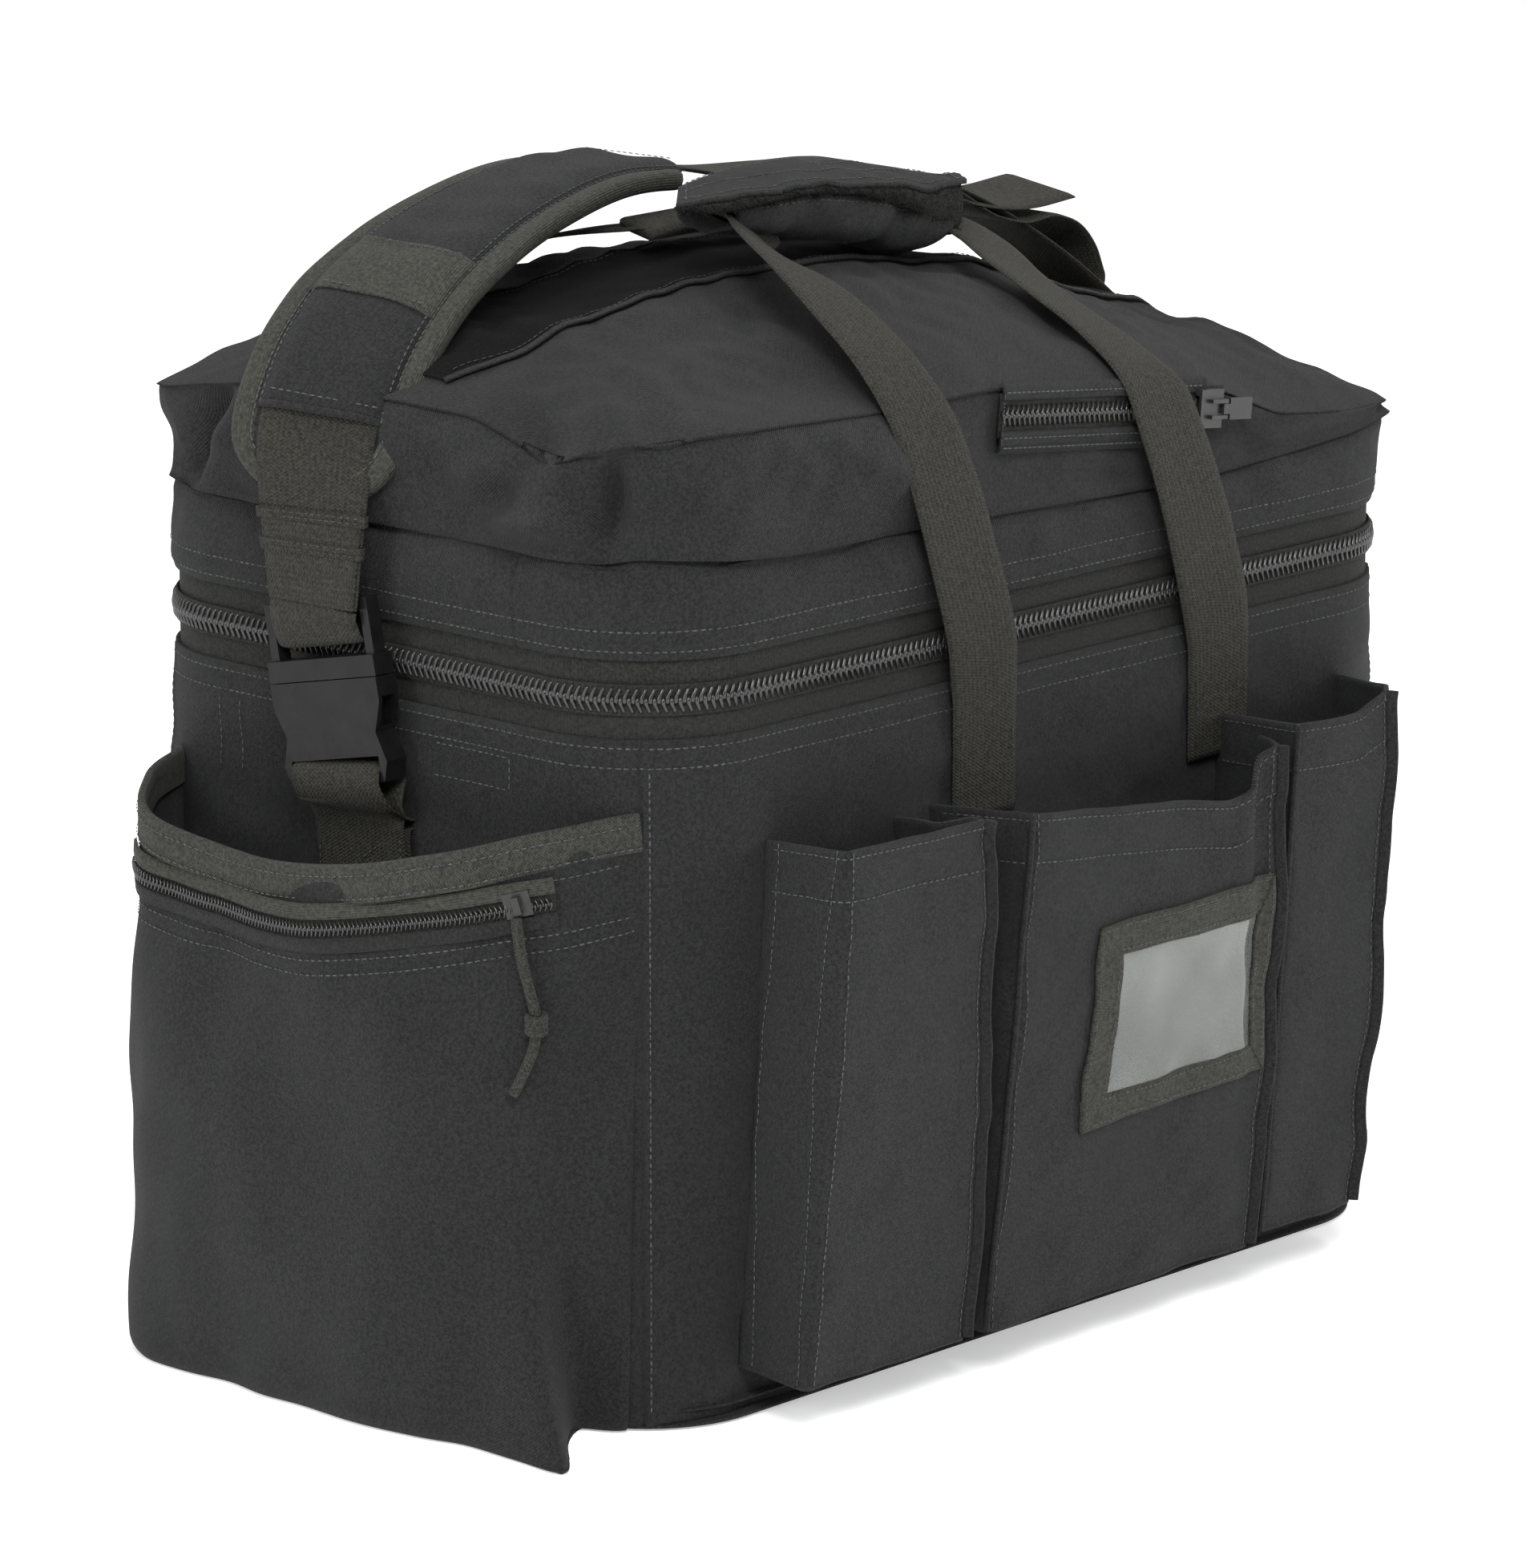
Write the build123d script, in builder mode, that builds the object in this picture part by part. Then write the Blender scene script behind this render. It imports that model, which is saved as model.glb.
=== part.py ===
"""Soft duty flight bag: zipped main compartment, domed lid with its own pocket, two webbing handles
joined by a padded wrap, a clip-on shoulder strap, three bellows pockets and a bulging end pocket.

Millimetres, +Z up. X runs along the bag, the front pockets face -Y and the end pocket faces -X.
The origin is the middle of the base, on the surface that the bag stands on.
"""

import os
from math import cos, radians, sin, tan

from build123d import *

os.makedirs("parts", exist_ok=True)

# ---------------------------------------------------------------- driving dimensions
HALF_LENGTH = 239.0
HALF_WIDTH = 152.0
CORNER = 58.0
WALL = 4.0
ZIP_Z = 300.0
BAND_TOP = 352.0
FABRIC = 2.5

PANEL_TOP = ZIP_Z - 16.0
COIL_DEPTH = 3.3
COIL_HEIGHT = 6.0
COIL_GAP = 0.2
TAPE_THICK = 1.2

STRAP_WIDTH = 50.0
HANDLE_WIDTH = 38.0
WEBBING = 3.0
HANDLE_LEFT = -72.0
HANDLE_RIGHT = 80.0

BUCKLE_LEAN = 12.0
BUCKLE_X = 253.0
BUCKLE_Y = 2.0
BUCKLE_Z = 250.0

PULL_CORD = 4.5


def write(piece, name):
    """Label a finished piece and save it under the same name."""
    piece.part.label = name
    export_step(piece.part, f"parts/{name}.step")


# ---------------------------------------------------------------- shared shapes
def sector(side):
    """Plan region of one wall, cut on the diagonals of the bag's corners."""
    x, y, far = HALF_LENGTH - CORNER, HALF_WIDTH - CORNER, 100.0
    corners = {
        "front": [(-x, -y), (x, -y), (x + far, -y - far), (-x - far, -y - far)],
        "rear": [(-x, y), (x, y), (x + far, y + far), (-x - far, y + far)],
        "left": [(-x, -y), (-x, y), (-x - far, y + far), (-x - far, -y - far)],
        "right": [(x, -y), (x, y), (x + far, y + far), (x + far, -y - far)],
    }
    return corners[side]


def zip_run():
    """Plan region of the main zip, which leaves out the straight rear edge where the lid hinges."""
    x, far, y = HALF_LENGTH - CORNER, 2 * HALF_LENGTH, HALF_WIDTH - CORNER
    return [(-x, y), (-x, far), (-far, far), (-far, -far), (far, -far), (far, far), (x, far), (x, y)]


def hinge_run():
    """Plan region of the straight rear edge."""
    x, y, far = HALF_LENGTH - CORNER - 0.3, HALF_WIDTH - CORNER, HALF_LENGTH
    return [(-x, y), (x, y), (x, far), (-x, far)]


def ring(z0, z1, proud, depth, region=None):
    """Upright band that follows the bag's outline, standing proud of it and depth thick."""
    with BuildPart() as piece:
        with BuildSketch(Plane.XY.offset(z0)):
            RectangleRounded(
                2 * (HALF_LENGTH + proud), 2 * (HALF_WIDTH + proud), CORNER + proud
            )
            inner = proud - depth
            RectangleRounded(
                2 * (HALF_LENGTH + inner), 2 * (HALF_WIDTH + inner), CORNER + inner,
                mode=Mode.SUBTRACT,
            )
            if region:
                with BuildLine():
                    Polyline(*region, close=True)
                make_face(mode=Mode.INTERSECT)
        extrude(amount=z1 - z0)
    return piece


def section_planes(points, lateral, offset):
    """Planes square to a path, at its points: x along the strip's width, y along its thickness."""
    path = [Vector(*p) for p in points]
    planes = []
    for i, here in enumerate(path):
        before = path[max(i - 1, 0)]
        after = path[min(i + 1, len(path) - 1)]
        tangent = ((here - before).normalized() if i else Vector(0, 0, 0)) + (
            (after - here).normalized() if i < len(path) - 1 else Vector(0, 0, 0)
        )
        tangent = tangent.normalized()
        across = Vector(*lateral)
        across = (across - tangent * across.dot(tangent)).normalized()
        normal = tangent.cross(across)
        planes.append(Plane(origin=here + normal * offset, x_dir=across, z_dir=tangent))
    return planes


def strip(points, width, thick, lateral=(0, 1, 0), offset=0.0, widths=None):
    """Flat band lofted along a path; offset moves it along its own normal."""
    with BuildPart() as piece:
        for i, plane in enumerate(section_planes(points, lateral, offset)):
            with BuildSketch(plane):
                Rectangle(widths[i] if widths else width, thick)
        loft(ruled=True)
    return piece


def block(x0, x1, y0, y1, z0, z1):
    """Add an axis-aligned block, given by its faces, to the part being built."""
    with Locations(((x0 + x1) / 2, (y0 + y1) / 2, (z0 + z1) / 2)):
        Box(x1 - x0, y1 - y0, z1 - z0)


def cut_block(x0, x1, y0, y1, z0, z1):
    """Cut an axis-aligned block, given by its faces, from the part being built."""
    with Locations(((x0 + x1) / 2, (y0 + y1) / 2, (z0 + z1) / 2)):
        Box(x1 - x0, y1 - y0, z1 - z0, mode=Mode.SUBTRACT)


# ---------------------------------------------------------------- main compartment
BASE_FABRIC = 3.0
BOARD_THICK = 3.0

with BuildPart() as bottom_panel:
    with BuildSketch(Plane.XY):
        RectangleRounded(2 * HALF_LENGTH, 2 * HALF_WIDTH, CORNER)
    extrude(amount=BASE_FABRIC)
write(bottom_panel, "bottom_panel")

with BuildPart() as base_board:
    with BuildSketch(Plane.XY.offset(BASE_FABRIC)):
        inset = WALL + 1.0
        RectangleRounded(2 * (HALF_LENGTH - inset), 2 * (HALF_WIDTH - inset), CORNER - inset)
    extrude(amount=BOARD_THICK)
write(base_board, "base_board")

for side, name in (("front", "front_panel"), ("rear", "rear_panel"),
                   ("left", "left_end_panel"), ("right", "right_end_panel")):
    write(ring(BASE_FABRIC, PANEL_TOP, 0.0, WALL, sector(side)), name)

# The tape lies 1 mm inside the outline and the coil sits on its outer face.
TAPE_INSET = -1.0
COIL_FACE = TAPE_INSET + COIL_DEPTH + 0.1
COIL_TOP = ZIP_Z + COIL_GAP + COIL_HEIGHT
BAND_BOTTOM = ZIP_Z + 16.0

write(ring(PANEL_TOP, ZIP_Z - 2.0, TAPE_INSET, TAPE_THICK, zip_run()), "zip_tape_lower")
write(ring(ZIP_Z - COIL_GAP - COIL_HEIGHT, ZIP_Z - COIL_GAP, COIL_FACE, COIL_DEPTH, zip_run()),
      "zip_coil_lower")
write(ring(ZIP_Z + 2.0, BAND_BOTTOM, TAPE_INSET, TAPE_THICK, zip_run()), "zip_tape_upper")
write(ring(ZIP_Z + COIL_GAP, COIL_TOP, COIL_FACE, COIL_DEPTH, zip_run()), "zip_coil_upper")
write(ring(PANEL_TOP, ZIP_Z - COIL_GAP, 0.0, FABRIC, hinge_run()), "hinge_strip_lower")
write(ring(ZIP_Z + COIL_GAP, BAND_BOTTOM, 0.0, FABRIC, hinge_run()), "hinge_strip_upper")

# ---------------------------------------------------------------- lid
write(ring(BAND_BOTTOM, BAND_TOP, 0.0, WALL), "lid_band")

LID_FLOOR = 2.0
with BuildPart() as lid_floor_panel:
    with BuildSketch(Plane.XY.offset(BAND_TOP)):
        RectangleRounded(2 * HALF_LENGTH, 2 * HALF_WIDTH, CORNER)
    extrude(amount=LID_FLOOR)
write(lid_floor_panel, "lid_floor_panel")

# Lid pocket: x, half width, height of the top seam, height of the crown.
LID_STATIONS = [
    (-236.0, 104.0, 396.0, 400.0),
    (-226.0, 126.0, 398.0, 409.0),
    (-190.0, 143.0, 398.0, 420.0),
    (-120.0, 149.0, 399.0, 431.0),
    (-50.0, 149.0, 400.0, 437.0),
    (20.0, 149.0, 396.0, 434.0),
    (80.0, 149.0, 386.0, 421.0),
    (130.0, 149.0, 371.0, 406.0),
    (180.0, 145.0, 362.0, 391.0),
    (222.0, 128.0, 360.0, 371.0),
    (236.0, 104.0, 358.0, 362.0),
]
LID_BOTTOM = BAND_TOP + LID_FLOOR


def lid_profile(half, seam, crown, skin, bottom):
    """Cross-section of the lid pocket, as (y, z) points."""
    rise = crown - seam
    half -= skin
    arch = [(0.97, 0.0), (0.74, 0.55), (0.38, 0.92)]
    right = [(half * u, seam - skin + rise * v) for u, v in arch]
    left = [(-y, z) for y, z in reversed(right)]
    return [(-half, bottom), (half, bottom)] + right + [(0.0, crown - skin)] + left


def lid_bulk(skin, bottom, shorten):
    """Solid body of the lid pocket, drawn in by the fabric's thickness for its inside."""
    with BuildPart() as piece:
        for x, half, seam, crown in LID_STATIONS:
            x = max(min(x, 236.0 - shorten), shorten - 236.0)
            with BuildSketch(Plane.YZ.offset(x)):
                with BuildLine():
                    Polyline(*lid_profile(half, seam, crown, skin, bottom), close=True)
                make_face()
        loft(ruled=True)
    return piece.part


def seam_prism():
    """Everything below the lid's top seam, with room round it."""
    far = HALF_LENGTH + 60.0
    with BuildPart() as piece:
        with BuildSketch(Plane.XZ.offset(-far)):
            with BuildLine():
                line = [(x, seam - 1.5) for x, half, seam, crown in LID_STATIONS]
                ends = [(-far, BAND_TOP - 20), (-far, line[0][1])]
                Polyline(*ends, *line, (far, line[-1][1]), (far, BAND_TOP - 20), close=True)
            make_face()
        extrude(amount=2 * far)
    return piece.part


LID_ZIP_LENGTH = 140.0
LID_ZIP_LEAN = radians(6.5)
LID_ZIP = Plane(origin=(-34.0, -149.0, 388.0),
                x_dir=(cos(LID_ZIP_LEAN), 0, -sin(LID_ZIP_LEAN)), z_dir=(0, -1, 0))


def zip_block(u0, u1, v0, v1, w0, w1, mode=Mode.ADD):
    """Add or cut a block by the lid's zip: along it, across it and out from the lid's front."""
    with BuildSketch(LID_ZIP.offset(w0)) as profile:
        with Locations(((u0 + u1) / 2, (v0 + v1) / 2)):
            Rectangle(u1 - u0, v1 - v0)
    extrude(profile.sketch, amount=w1 - w0, mode=mode)


lid_outer = lid_bulk(0.0, LID_BOTTOM, 0.0)
lid_inner = lid_bulk(FABRIC, LID_BOTTOM - 3.0, FABRIC)
below_seam = seam_prism()

with BuildPart() as lid_gusset:
    add(lid_outer)
    add(lid_inner, mode=Mode.SUBTRACT)
    add(below_seam, mode=Mode.INTERSECT)
    zip_block(2, LID_ZIP_LENGTH - 26, -5, 5, -9, 11, mode=Mode.SUBTRACT)
write(lid_gusset, "lid_gusset")

with BuildPart() as lid_top_panel:
    add(lid_outer)
    add(lid_inner, mode=Mode.SUBTRACT)
    add(below_seam, mode=Mode.SUBTRACT)
write(lid_top_panel, "lid_top_panel")

# Soft loop panel along the crown, laid just above the lid's arch.
LOOP_HALF = 36.0
LOOP_UNDER = 0.3
LOOP_OVER = 1.3
with BuildPart() as lid_loop_panel:
    for x, half, seam, crown in LID_STATIONS[1:-1]:
        edge = crown - 0.08 * (crown - seam) * LOOP_HALF / (0.38 * half)
        with BuildSketch(Plane.YZ.offset(x)):
            with BuildLine():
                Polyline(
                    (-LOOP_HALF, edge + LOOP_UNDER), (0, crown + LOOP_UNDER),
                    (LOOP_HALF, edge + LOOP_UNDER), (LOOP_HALF, edge + LOOP_OVER),
                    (0, crown + LOOP_OVER), (-LOOP_HALF, edge + LOOP_OVER), close=True,
                )
            make_face()
    loft(ruled=True)
write(lid_loop_panel, "lid_loop_panel")

with BuildPart() as lid_zip_tape:
    zip_block(0, LID_ZIP_LENGTH, -11, 11, 0.15, 0.95)
write(lid_zip_tape, "lid_zip_tape")
with BuildPart() as lid_zip_coil:
    zip_block(0, LID_ZIP_LENGTH, -5, 5, 1.05, 3.85)
write(lid_zip_coil, "lid_zip_coil")

# ---------------------------------------------------------------- front pockets
POCKET_DEPTH = 48.0
POCKETS = {
    "left": (-174.0, -96.0, 22.0, 240.0),
    "centre": (-76.0, 84.0, 22.0, 238.0),
    "right": (102.0, 176.0, 26.0, 245.0),
}
POCKET_BACK = -HALF_WIDTH - 0.1
POCKET_FACE = -HALF_WIDTH - POCKET_DEPTH

for key, (x0, x1, z0, z1) in POCKETS.items():
    with BuildPart() as pocket_face:
        block(x0, x1, POCKET_FACE, POCKET_FACE + FABRIC, z0, z1)
    write(pocket_face, f"pocket_{key}_face")
    with BuildPart() as pocket_gusset:
        block(x0, x1, POCKET_FACE + FABRIC, POCKET_BACK, z0, z1)
        cut_block(x0 + FABRIC, x1 - FABRIC, POCKET_FACE, POCKET_BACK + 1, z0 + FABRIC, z1 + 1)
    write(pocket_gusset, f"pocket_{key}_gusset")

# Identity-card window: webbing frame on three sides and a clear sheet behind it.
WINDOW = (-30.0, 82.0, 100.0, 184.0)
WINDOW_EDGE = 15.0
with BuildPart() as id_window_frame:
    x0, x1, z0, z1 = WINDOW
    block(x0, x1, POCKET_FACE - 2.1, POCKET_FACE - 0.9, z0, z1)
    cut_block(x0 + WINDOW_EDGE, x1 - 6, POCKET_FACE - 3, POCKET_FACE, z0 + WINDOW_EDGE,
              z1 - WINDOW_EDGE)
write(id_window_frame, "id_window_frame")
with BuildPart() as id_window_clear:
    block(x0 + 4, x1 - 2, POCKET_FACE - 0.8, POCKET_FACE - 0.2, z0 + 4, z1 - 4)
write(id_window_clear, "id_window_clear")

# ---------------------------------------------------------------- end pocket
# Rim of the pocket, from the front corner round the bulge to the rear: x, y and height.
RIM = [
    (-239.2, -149.0, 256.0),
    (-262.0, -113.3, 249.0),
    (-292.0, -66.0, 236.0),
    (-297.0, -20.0, 227.0),
    (-297.0, 30.0, 227.0),
    (-290.0, 88.0, 240.0),
    (-270.0, 116.0, 246.0),
    (-239.2, 130.0, 249.0),
]
END_BOTTOM = 3.0

with BuildPart() as end_pocket_shell:
    with BuildSketch(Plane.XY.offset(END_BOTTOM)):
        with BuildLine():
            Polyline(*[(x, y) for x, y, z in RIM], close=True)
        make_face()
    extrude(amount=300)
    with BuildSketch(Plane.XY.offset(END_BOTTOM + FABRIC)):
        with BuildLine():
            Polyline(*[(x, y) for x, y, z in RIM], close=True)
        make_face()
        offset(amount=-FABRIC, kind=Kind.INTERSECTION)
        with Locations((-238.0, -9.5)):
            Rectangle(12.0, 272.0)
    extrude(amount=320, mode=Mode.SUBTRACT)
    with BuildSketch(Plane.YZ.offset(-400)):
        with BuildLine():
            Polyline((-170, 256), *[(y, z) for x, y, z in RIM], (150, 249), (150, 400),
                     (-170, 400), close=True)
        make_face()
    extrude(amount=200, mode=Mode.SUBTRACT)
write(end_pocket_shell, "end_pocket_shell")

BINDING_HEIGHT = 15.0
binding_path = [(x, y, z - BINDING_HEIGHT / 2) for x, y, z in RIM[1:-1]]
write(strip(binding_path, BINDING_HEIGHT, 1.0, lateral=(0, 0, 1), offset=-1.1),
      "end_pocket_binding")

END_ZIP = [
    (-257.6, -120.2, 226.5),
    (-266.0, -107.0, 222.5),
    (-288.0, -72.3, 211.5),
    (-292.0, -66.0, 209.8),
    (-297.0, -20.0, 204.0),
    (-297.0, 30.0, 204.0),
    (-290.8, 82.0, 208.0),
]
write(strip(END_ZIP, 15.0, 0.7, lateral=(0, 0, 1), offset=-0.7), "end_zip_tape")
write(strip(END_ZIP, 6.4, 2.0, lateral=(0, 0, 1), offset=-2.2), "end_zip_coil")

# ---------------------------------------------------------------- handles
PIVOT_Y = 157.0
PIVOT_Z = 284.5
FRONT_HANDLE = [
    (157.0, 287.0), (162.0, 302.0), (164.5, 352.0), (163.5, 392.0), (156.0, 412.0),
    (127.0, 432.0), (84.0, 447.0), (52.0, 454.0), (32.0, 457.0),
]
REAR_HANDLE = [
    (157.0, 287.0), (161.0, 302.0), (163.5, 352.0), (162.0, 392.0), (152.0, 409.0),
    (125.0, 424.0), (80.0, 437.0), (40.0, 445.0), (14.0, 449.0),
]
ANCHOR_LOW = 243.0
HANDLE_NARROW = 26.0


def handle(profile, facing, grip_y, grip_z):
    """Webbing loop: a strap up each side of the middle and a grip across the top."""
    with BuildPart() as piece:
        for x, out in ((HANDLE_LEFT, -1), (HANDLE_RIGHT, 1)):
            last = len(profile) - 1
            path = []
            for i, (y, z) in enumerate(profile):
                shift = out * (HANDLE_WIDTH - HANDLE_NARROW) / 2 if i >= last - 1 else 0.0
                path.append((x + shift, facing * y, z))
            widths = [HANDLE_WIDTH] * (last - 1) + [HANDLE_NARROW] * 2
            add(strip(path, HANDLE_WIDTH, WEBBING, lateral=(1, 0, 0), widths=widths).part)
        block(HANDLE_LEFT - 12, HANDLE_RIGHT + 12, grip_y - 9, grip_y + 9, grip_z - 4, grip_z + 4)
    return piece


def handle_anchors(facing):
    """The two stitched ends of a handle, flat on the bag's wall above the pockets."""
    with BuildPart() as piece:
        inner = facing * (HALF_WIDTH + 0.1)
        outer = facing * (HALF_WIDTH + 0.1 + WEBBING)
        for x in (HANDLE_LEFT, HANDLE_RIGHT):
            block(x - HANDLE_WIDTH / 2, x + HANDLE_WIDTH / 2, min(inner, outer),
                  max(inner, outer), ANCHOR_LOW, PIVOT_Z - 1.0)
    return piece


write(handle_anchors(-1), "front_handle_anchors")
write(handle_anchors(1), "rear_handle_anchors")
write(handle(FRONT_HANDLE, -1, -28.0, 458.0), "front_handle")
write(handle(REAR_HANDLE, 1, 14.0, 449.0), "rear_handle")

WRAP_X = (-64.0, 72.0)
with BuildPart() as handle_wrap:
    block(*WRAP_X, -50, -5, 444, 471)
    cut_block(WRAP_X[0] - 1, WRAP_X[1] + 1, -38, -18, 453, 463)
    block(*WRAP_X, -8, 17, 468, 471)
write(handle_wrap, "handle_wrap")

FLAP_X = (-82.0, 92.0)
with BuildPart() as wrap_flap:
    block(*FLAP_X, -56, -10, 472.0, 475.5)
write(wrap_flap, "wrap_flap")

# ---------------------------------------------------------------- shoulder strap
STRAP = [
    (-258.4, 15.2, 322.0), (-258.0, 15.6, 345.0), (-257.0, 16.0, 370.0), (-254.0, 17.0, 389.0),
    (-242.0, 20.0, 411.0), (-212.0, 27.0, 437.0), (-170.0, 36.0, 455.0), (-122.0, 46.0, 466.0),
    (-75.0, 54.0, 471.0), (-28.0, 60.0, 467.0), (20.0, 62.0, 457.0), (75.0, 62.0, 452.5),
    (110.0, 61.0, 450.0), (142.0, 58.0, 440.0), (175.0, 52.0, 423.0), (210.0, 43.0, 398.0),
    (236.0, 32.0, 371.0), (252.0, 22.0, 348.0), (257.6, 16.5, 335.0), (258.4, 15.2, 322.0),
]
PAD = STRAP[3:10]
PATCH = STRAP[5:7]


def buckle_plane(side):
    """Plane of a buckle: x across it, y along it towards the strap, normal along +X."""
    lean = radians(BUCKLE_LEAN)
    return Plane(origin=(side * BUCKLE_X, BUCKLE_Y, BUCKLE_Z),
                 x_dir=(0, cos(lean), -sin(lean)), z_dir=(1, 0, 0))


def plate(plane, u0, u1, v0, v1, half, mode=Mode.ADD, middle=0.0):
    """Add or cut a rectangle of a buckle, with its thickness centred on the buckle's plane."""
    with BuildSketch(plane.offset(middle)) as profile:
        with Locations(((u0 + u1) / 2, (v0 + v1) / 2)):
            Rectangle(u1 - u0, v1 - v0)
    extrude(profile.sketch, amount=half, both=True, mode=mode)


FEMALE_HEIGHT = 42.0
MALE_BASE = 42.4
MALE_TOP = 74.0


def webbing_ring(plane, v0, v1, half):
    """Loop of webbing round a bar that fills v0..v1 and plus or minus half."""
    gap, thick, wide = 0.4, 2.4, STRAP_WIDTH / 2 - 1
    plate(plane, -wide, wide, v0 - gap - thick, v1 + gap + thick, half + gap + thick)
    plate(plane, -wide - 1, wide + 1, v0 - gap, v1 + gap, half + gap, mode=Mode.SUBTRACT)


for side, name in ((-1, "left"), (1, "right")):
    plane = buckle_plane(side)

    with BuildPart() as female:
        with BuildSketch(plane):
            with BuildLine():
                Polyline((-27, 0), (27, 0), (30, 8), (26, 20), (31, 32), (31, FEMALE_HEIGHT),
                         (-31, FEMALE_HEIGHT), (-31, 32), (-26, 20), (-30, 8), close=True)
            make_face()
        extrude(amount=5.5, both=True)
        plate(plane, -25.5, 25.5, 5, 10.5, 6, mode=Mode.SUBTRACT)
        plate(plane, -23.5, 23.5, 14, FEMALE_HEIGHT + 1, 3.4, mode=Mode.SUBTRACT)
        for u in (-1, 1):
            plate(plane, min(u * 22, u * 34), max(u * 22, u * 34), 22, 34, 3.4,
                  mode=Mode.SUBTRACT)
    write(female, f"buckle_female_{name}")

    with BuildPart() as male:
        plate(plane, -31, 31, MALE_BASE, 51, 5.2)
        plate(plane, -30, 30, 51, MALE_TOP, 3.2)
        plate(plane, -25.5, 25.5, 51, 70, 4, mode=Mode.SUBTRACT)
        plate(plane, -26, 26, 58.5, 61.5, 2.0)
        plate(plane, -3.5, 3.5, 17, MALE_BASE + 1, 2.8)
    write(male, f"buckle_male_{name}")

    for u, prong_name in ((-1, "front"), (1, "rear")):
        with BuildPart() as prong:
            with BuildSketch(plane):
                with BuildLine():
                    Polyline((u * 13, 41.4), (u * 17, 41.4), (u * 19, 33), (u * 23, 27),
                             (u * 22, 19), (u * 16, 16), (u * 13, 20), (u * 12, 34), close=True)
                make_face()
            extrude(amount=2.7, both=True)
        write(prong, f"buckle_prong_{name}_{prong_name}")

    wall = HALF_LENGTH + 0.2
    with BuildPart() as strap_tab:
        webbing_ring(plane, 0, 5, 5.5)
        block(min(side * wall, side * (BUCKLE_X - 5)), max(side * wall, side * (BUCKLE_X - 5)),
              BUCKLE_Y - 24, BUCKLE_Y + 24, 238, 244.5)
        block(min(side * wall, side * (wall + 5)), max(side * wall, side * (wall + 5)),
              BUCKLE_Y - 25, BUCKLE_Y + 25, 196, 244.5)
    write(strap_tab, f"strap_tab_{name}")

with BuildPart() as strap_webbing:
    add(strip(STRAP, STRAP_WIDTH - 1, 2.4).part)
    for side in (-1, 1):
        plane = buckle_plane(side)
        webbing_ring(plane, 58.5, 61.5, 2.0)
        plate(plane, -24, 24, 62, 76, 1.2, middle=side * 5.2)
write(strap_webbing, "strap_webbing")

PAD_WIDTH = 72.0
write(strip(PAD, PAD_WIDTH, 6.0, offset=-5.0), "pad_foam")
write(strip(PAD, PAD_WIDTH, 1.6, offset=2.6), "pad_cover")
write(strip(PATCH, PAD_WIDTH - 6, 0.8, offset=5.0), "pad_patch")

# ---------------------------------------------------------------- zip sliders
SLIDER_LENGTH = 14.0
PULL_THICK = 1.4


def main_slider(y):
    """Slider on the right end: outer plate that hooks under the lower coil, with a pull bridge."""
    face = HALF_LENGTH + COIL_FACE + 0.4
    low = ZIP_Z - COIL_GAP - COIL_HEIGHT
    half = SLIDER_LENGTH / 2
    with BuildPart() as piece:
        block(face, face + 1.6, y - half, y + half, low - 3.2, ZIP_Z + 7)
        block(HALF_LENGTH - 0.6, face + 1.6, y - half, y + half, low - 3.2, low - 0.5)
        for end in (-1, 1):
            middle = y + end * 3.3
            block(face + 1.6, face + 3.8, middle - 0.8, middle + 0.8, ZIP_Z - 3, ZIP_Z + 5)
    return piece


def main_pull(y):
    """Flat pull that hangs from the slider's bridge."""
    face = HALF_LENGTH + COIL_FACE + 0.4
    with BuildPart() as piece:
        block(face + 2.0, face + 2.0 + PULL_THICK, y - 2.1, y + 2.1, ZIP_Z - 4, ZIP_Z + 3.5)
        block(face + 2.0, face + 2.0 + PULL_THICK, y - 4, y + 4, ZIP_Z - 36, ZIP_Z - 4)
    return piece


for name, y in (("front", 56.0), ("rear", 71.0)):
    write(main_slider(y), f"main_slider_{name}")
    write(main_pull(y), f"main_pull_{name}")

LID_SLIDER_U = 128.0
LID_PULL_U = LID_SLIDER_U + 6.5
with BuildPart() as lid_slider:
    half = SLIDER_LENGTH / 2
    zip_block(LID_SLIDER_U - half, LID_SLIDER_U + half, -8, 8, 4.2, 5.6)
    for low, high in ((-8, -5.4), (5.4, 8)):
        zip_block(LID_SLIDER_U - half, LID_SLIDER_U + half, low, high, 1.8, 4.2)
    for middle in (-3.3, 3.3):
        zip_block(LID_SLIDER_U - 2, LID_PULL_U + 1.5, middle - 0.8, middle + 0.8, 5.6, 7.8)
write(lid_slider, "lid_slider")

# The lid's pull lies along the zip and swings out about the slider's end.
with BuildPart() as lid_pull:
    start = LID_PULL_U - PULL_THICK / 2
    zip_block(start, start + 4, -2.1, 2.1, 6.0, 6.0 + PULL_THICK)
    zip_block(start + 4, start + 18, -4.5, 4.5, 6.0, 6.0 + PULL_THICK)
write(lid_pull, "lid_pull")

# The end pocket's slider runs on the slanted front stretch of its zip.
RUN_START = Vector(*END_ZIP[1])
RUN = (Vector(*END_ZIP[2]) - RUN_START).normalized()
FLAT_RUN = Vector(RUN.X, RUN.Y, 0).normalized()
OUTWARD = Vector(0, 0, 1).cross(FLAT_RUN)
slider_plane = Plane(origin=RUN_START, x_dir=RUN, z_dir=OUTWARD)

with BuildPart() as end_slider:
    with BuildSketch(slider_plane.offset(3.7)):
        Rectangle(11.0, 10.0)
    extrude(amount=1.3)
    for v in (-4.4, 4.4):
        with BuildSketch(slider_plane.offset(1.6)):
            with Locations((0, v)):
                Rectangle(11.0, 1.2)
        extrude(amount=2.2)
    with BuildSketch(slider_plane.offset(5.0)):
        Rectangle(3.0, 7.0)
    extrude(amount=3.0)
write(end_slider, "end_slider")

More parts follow.
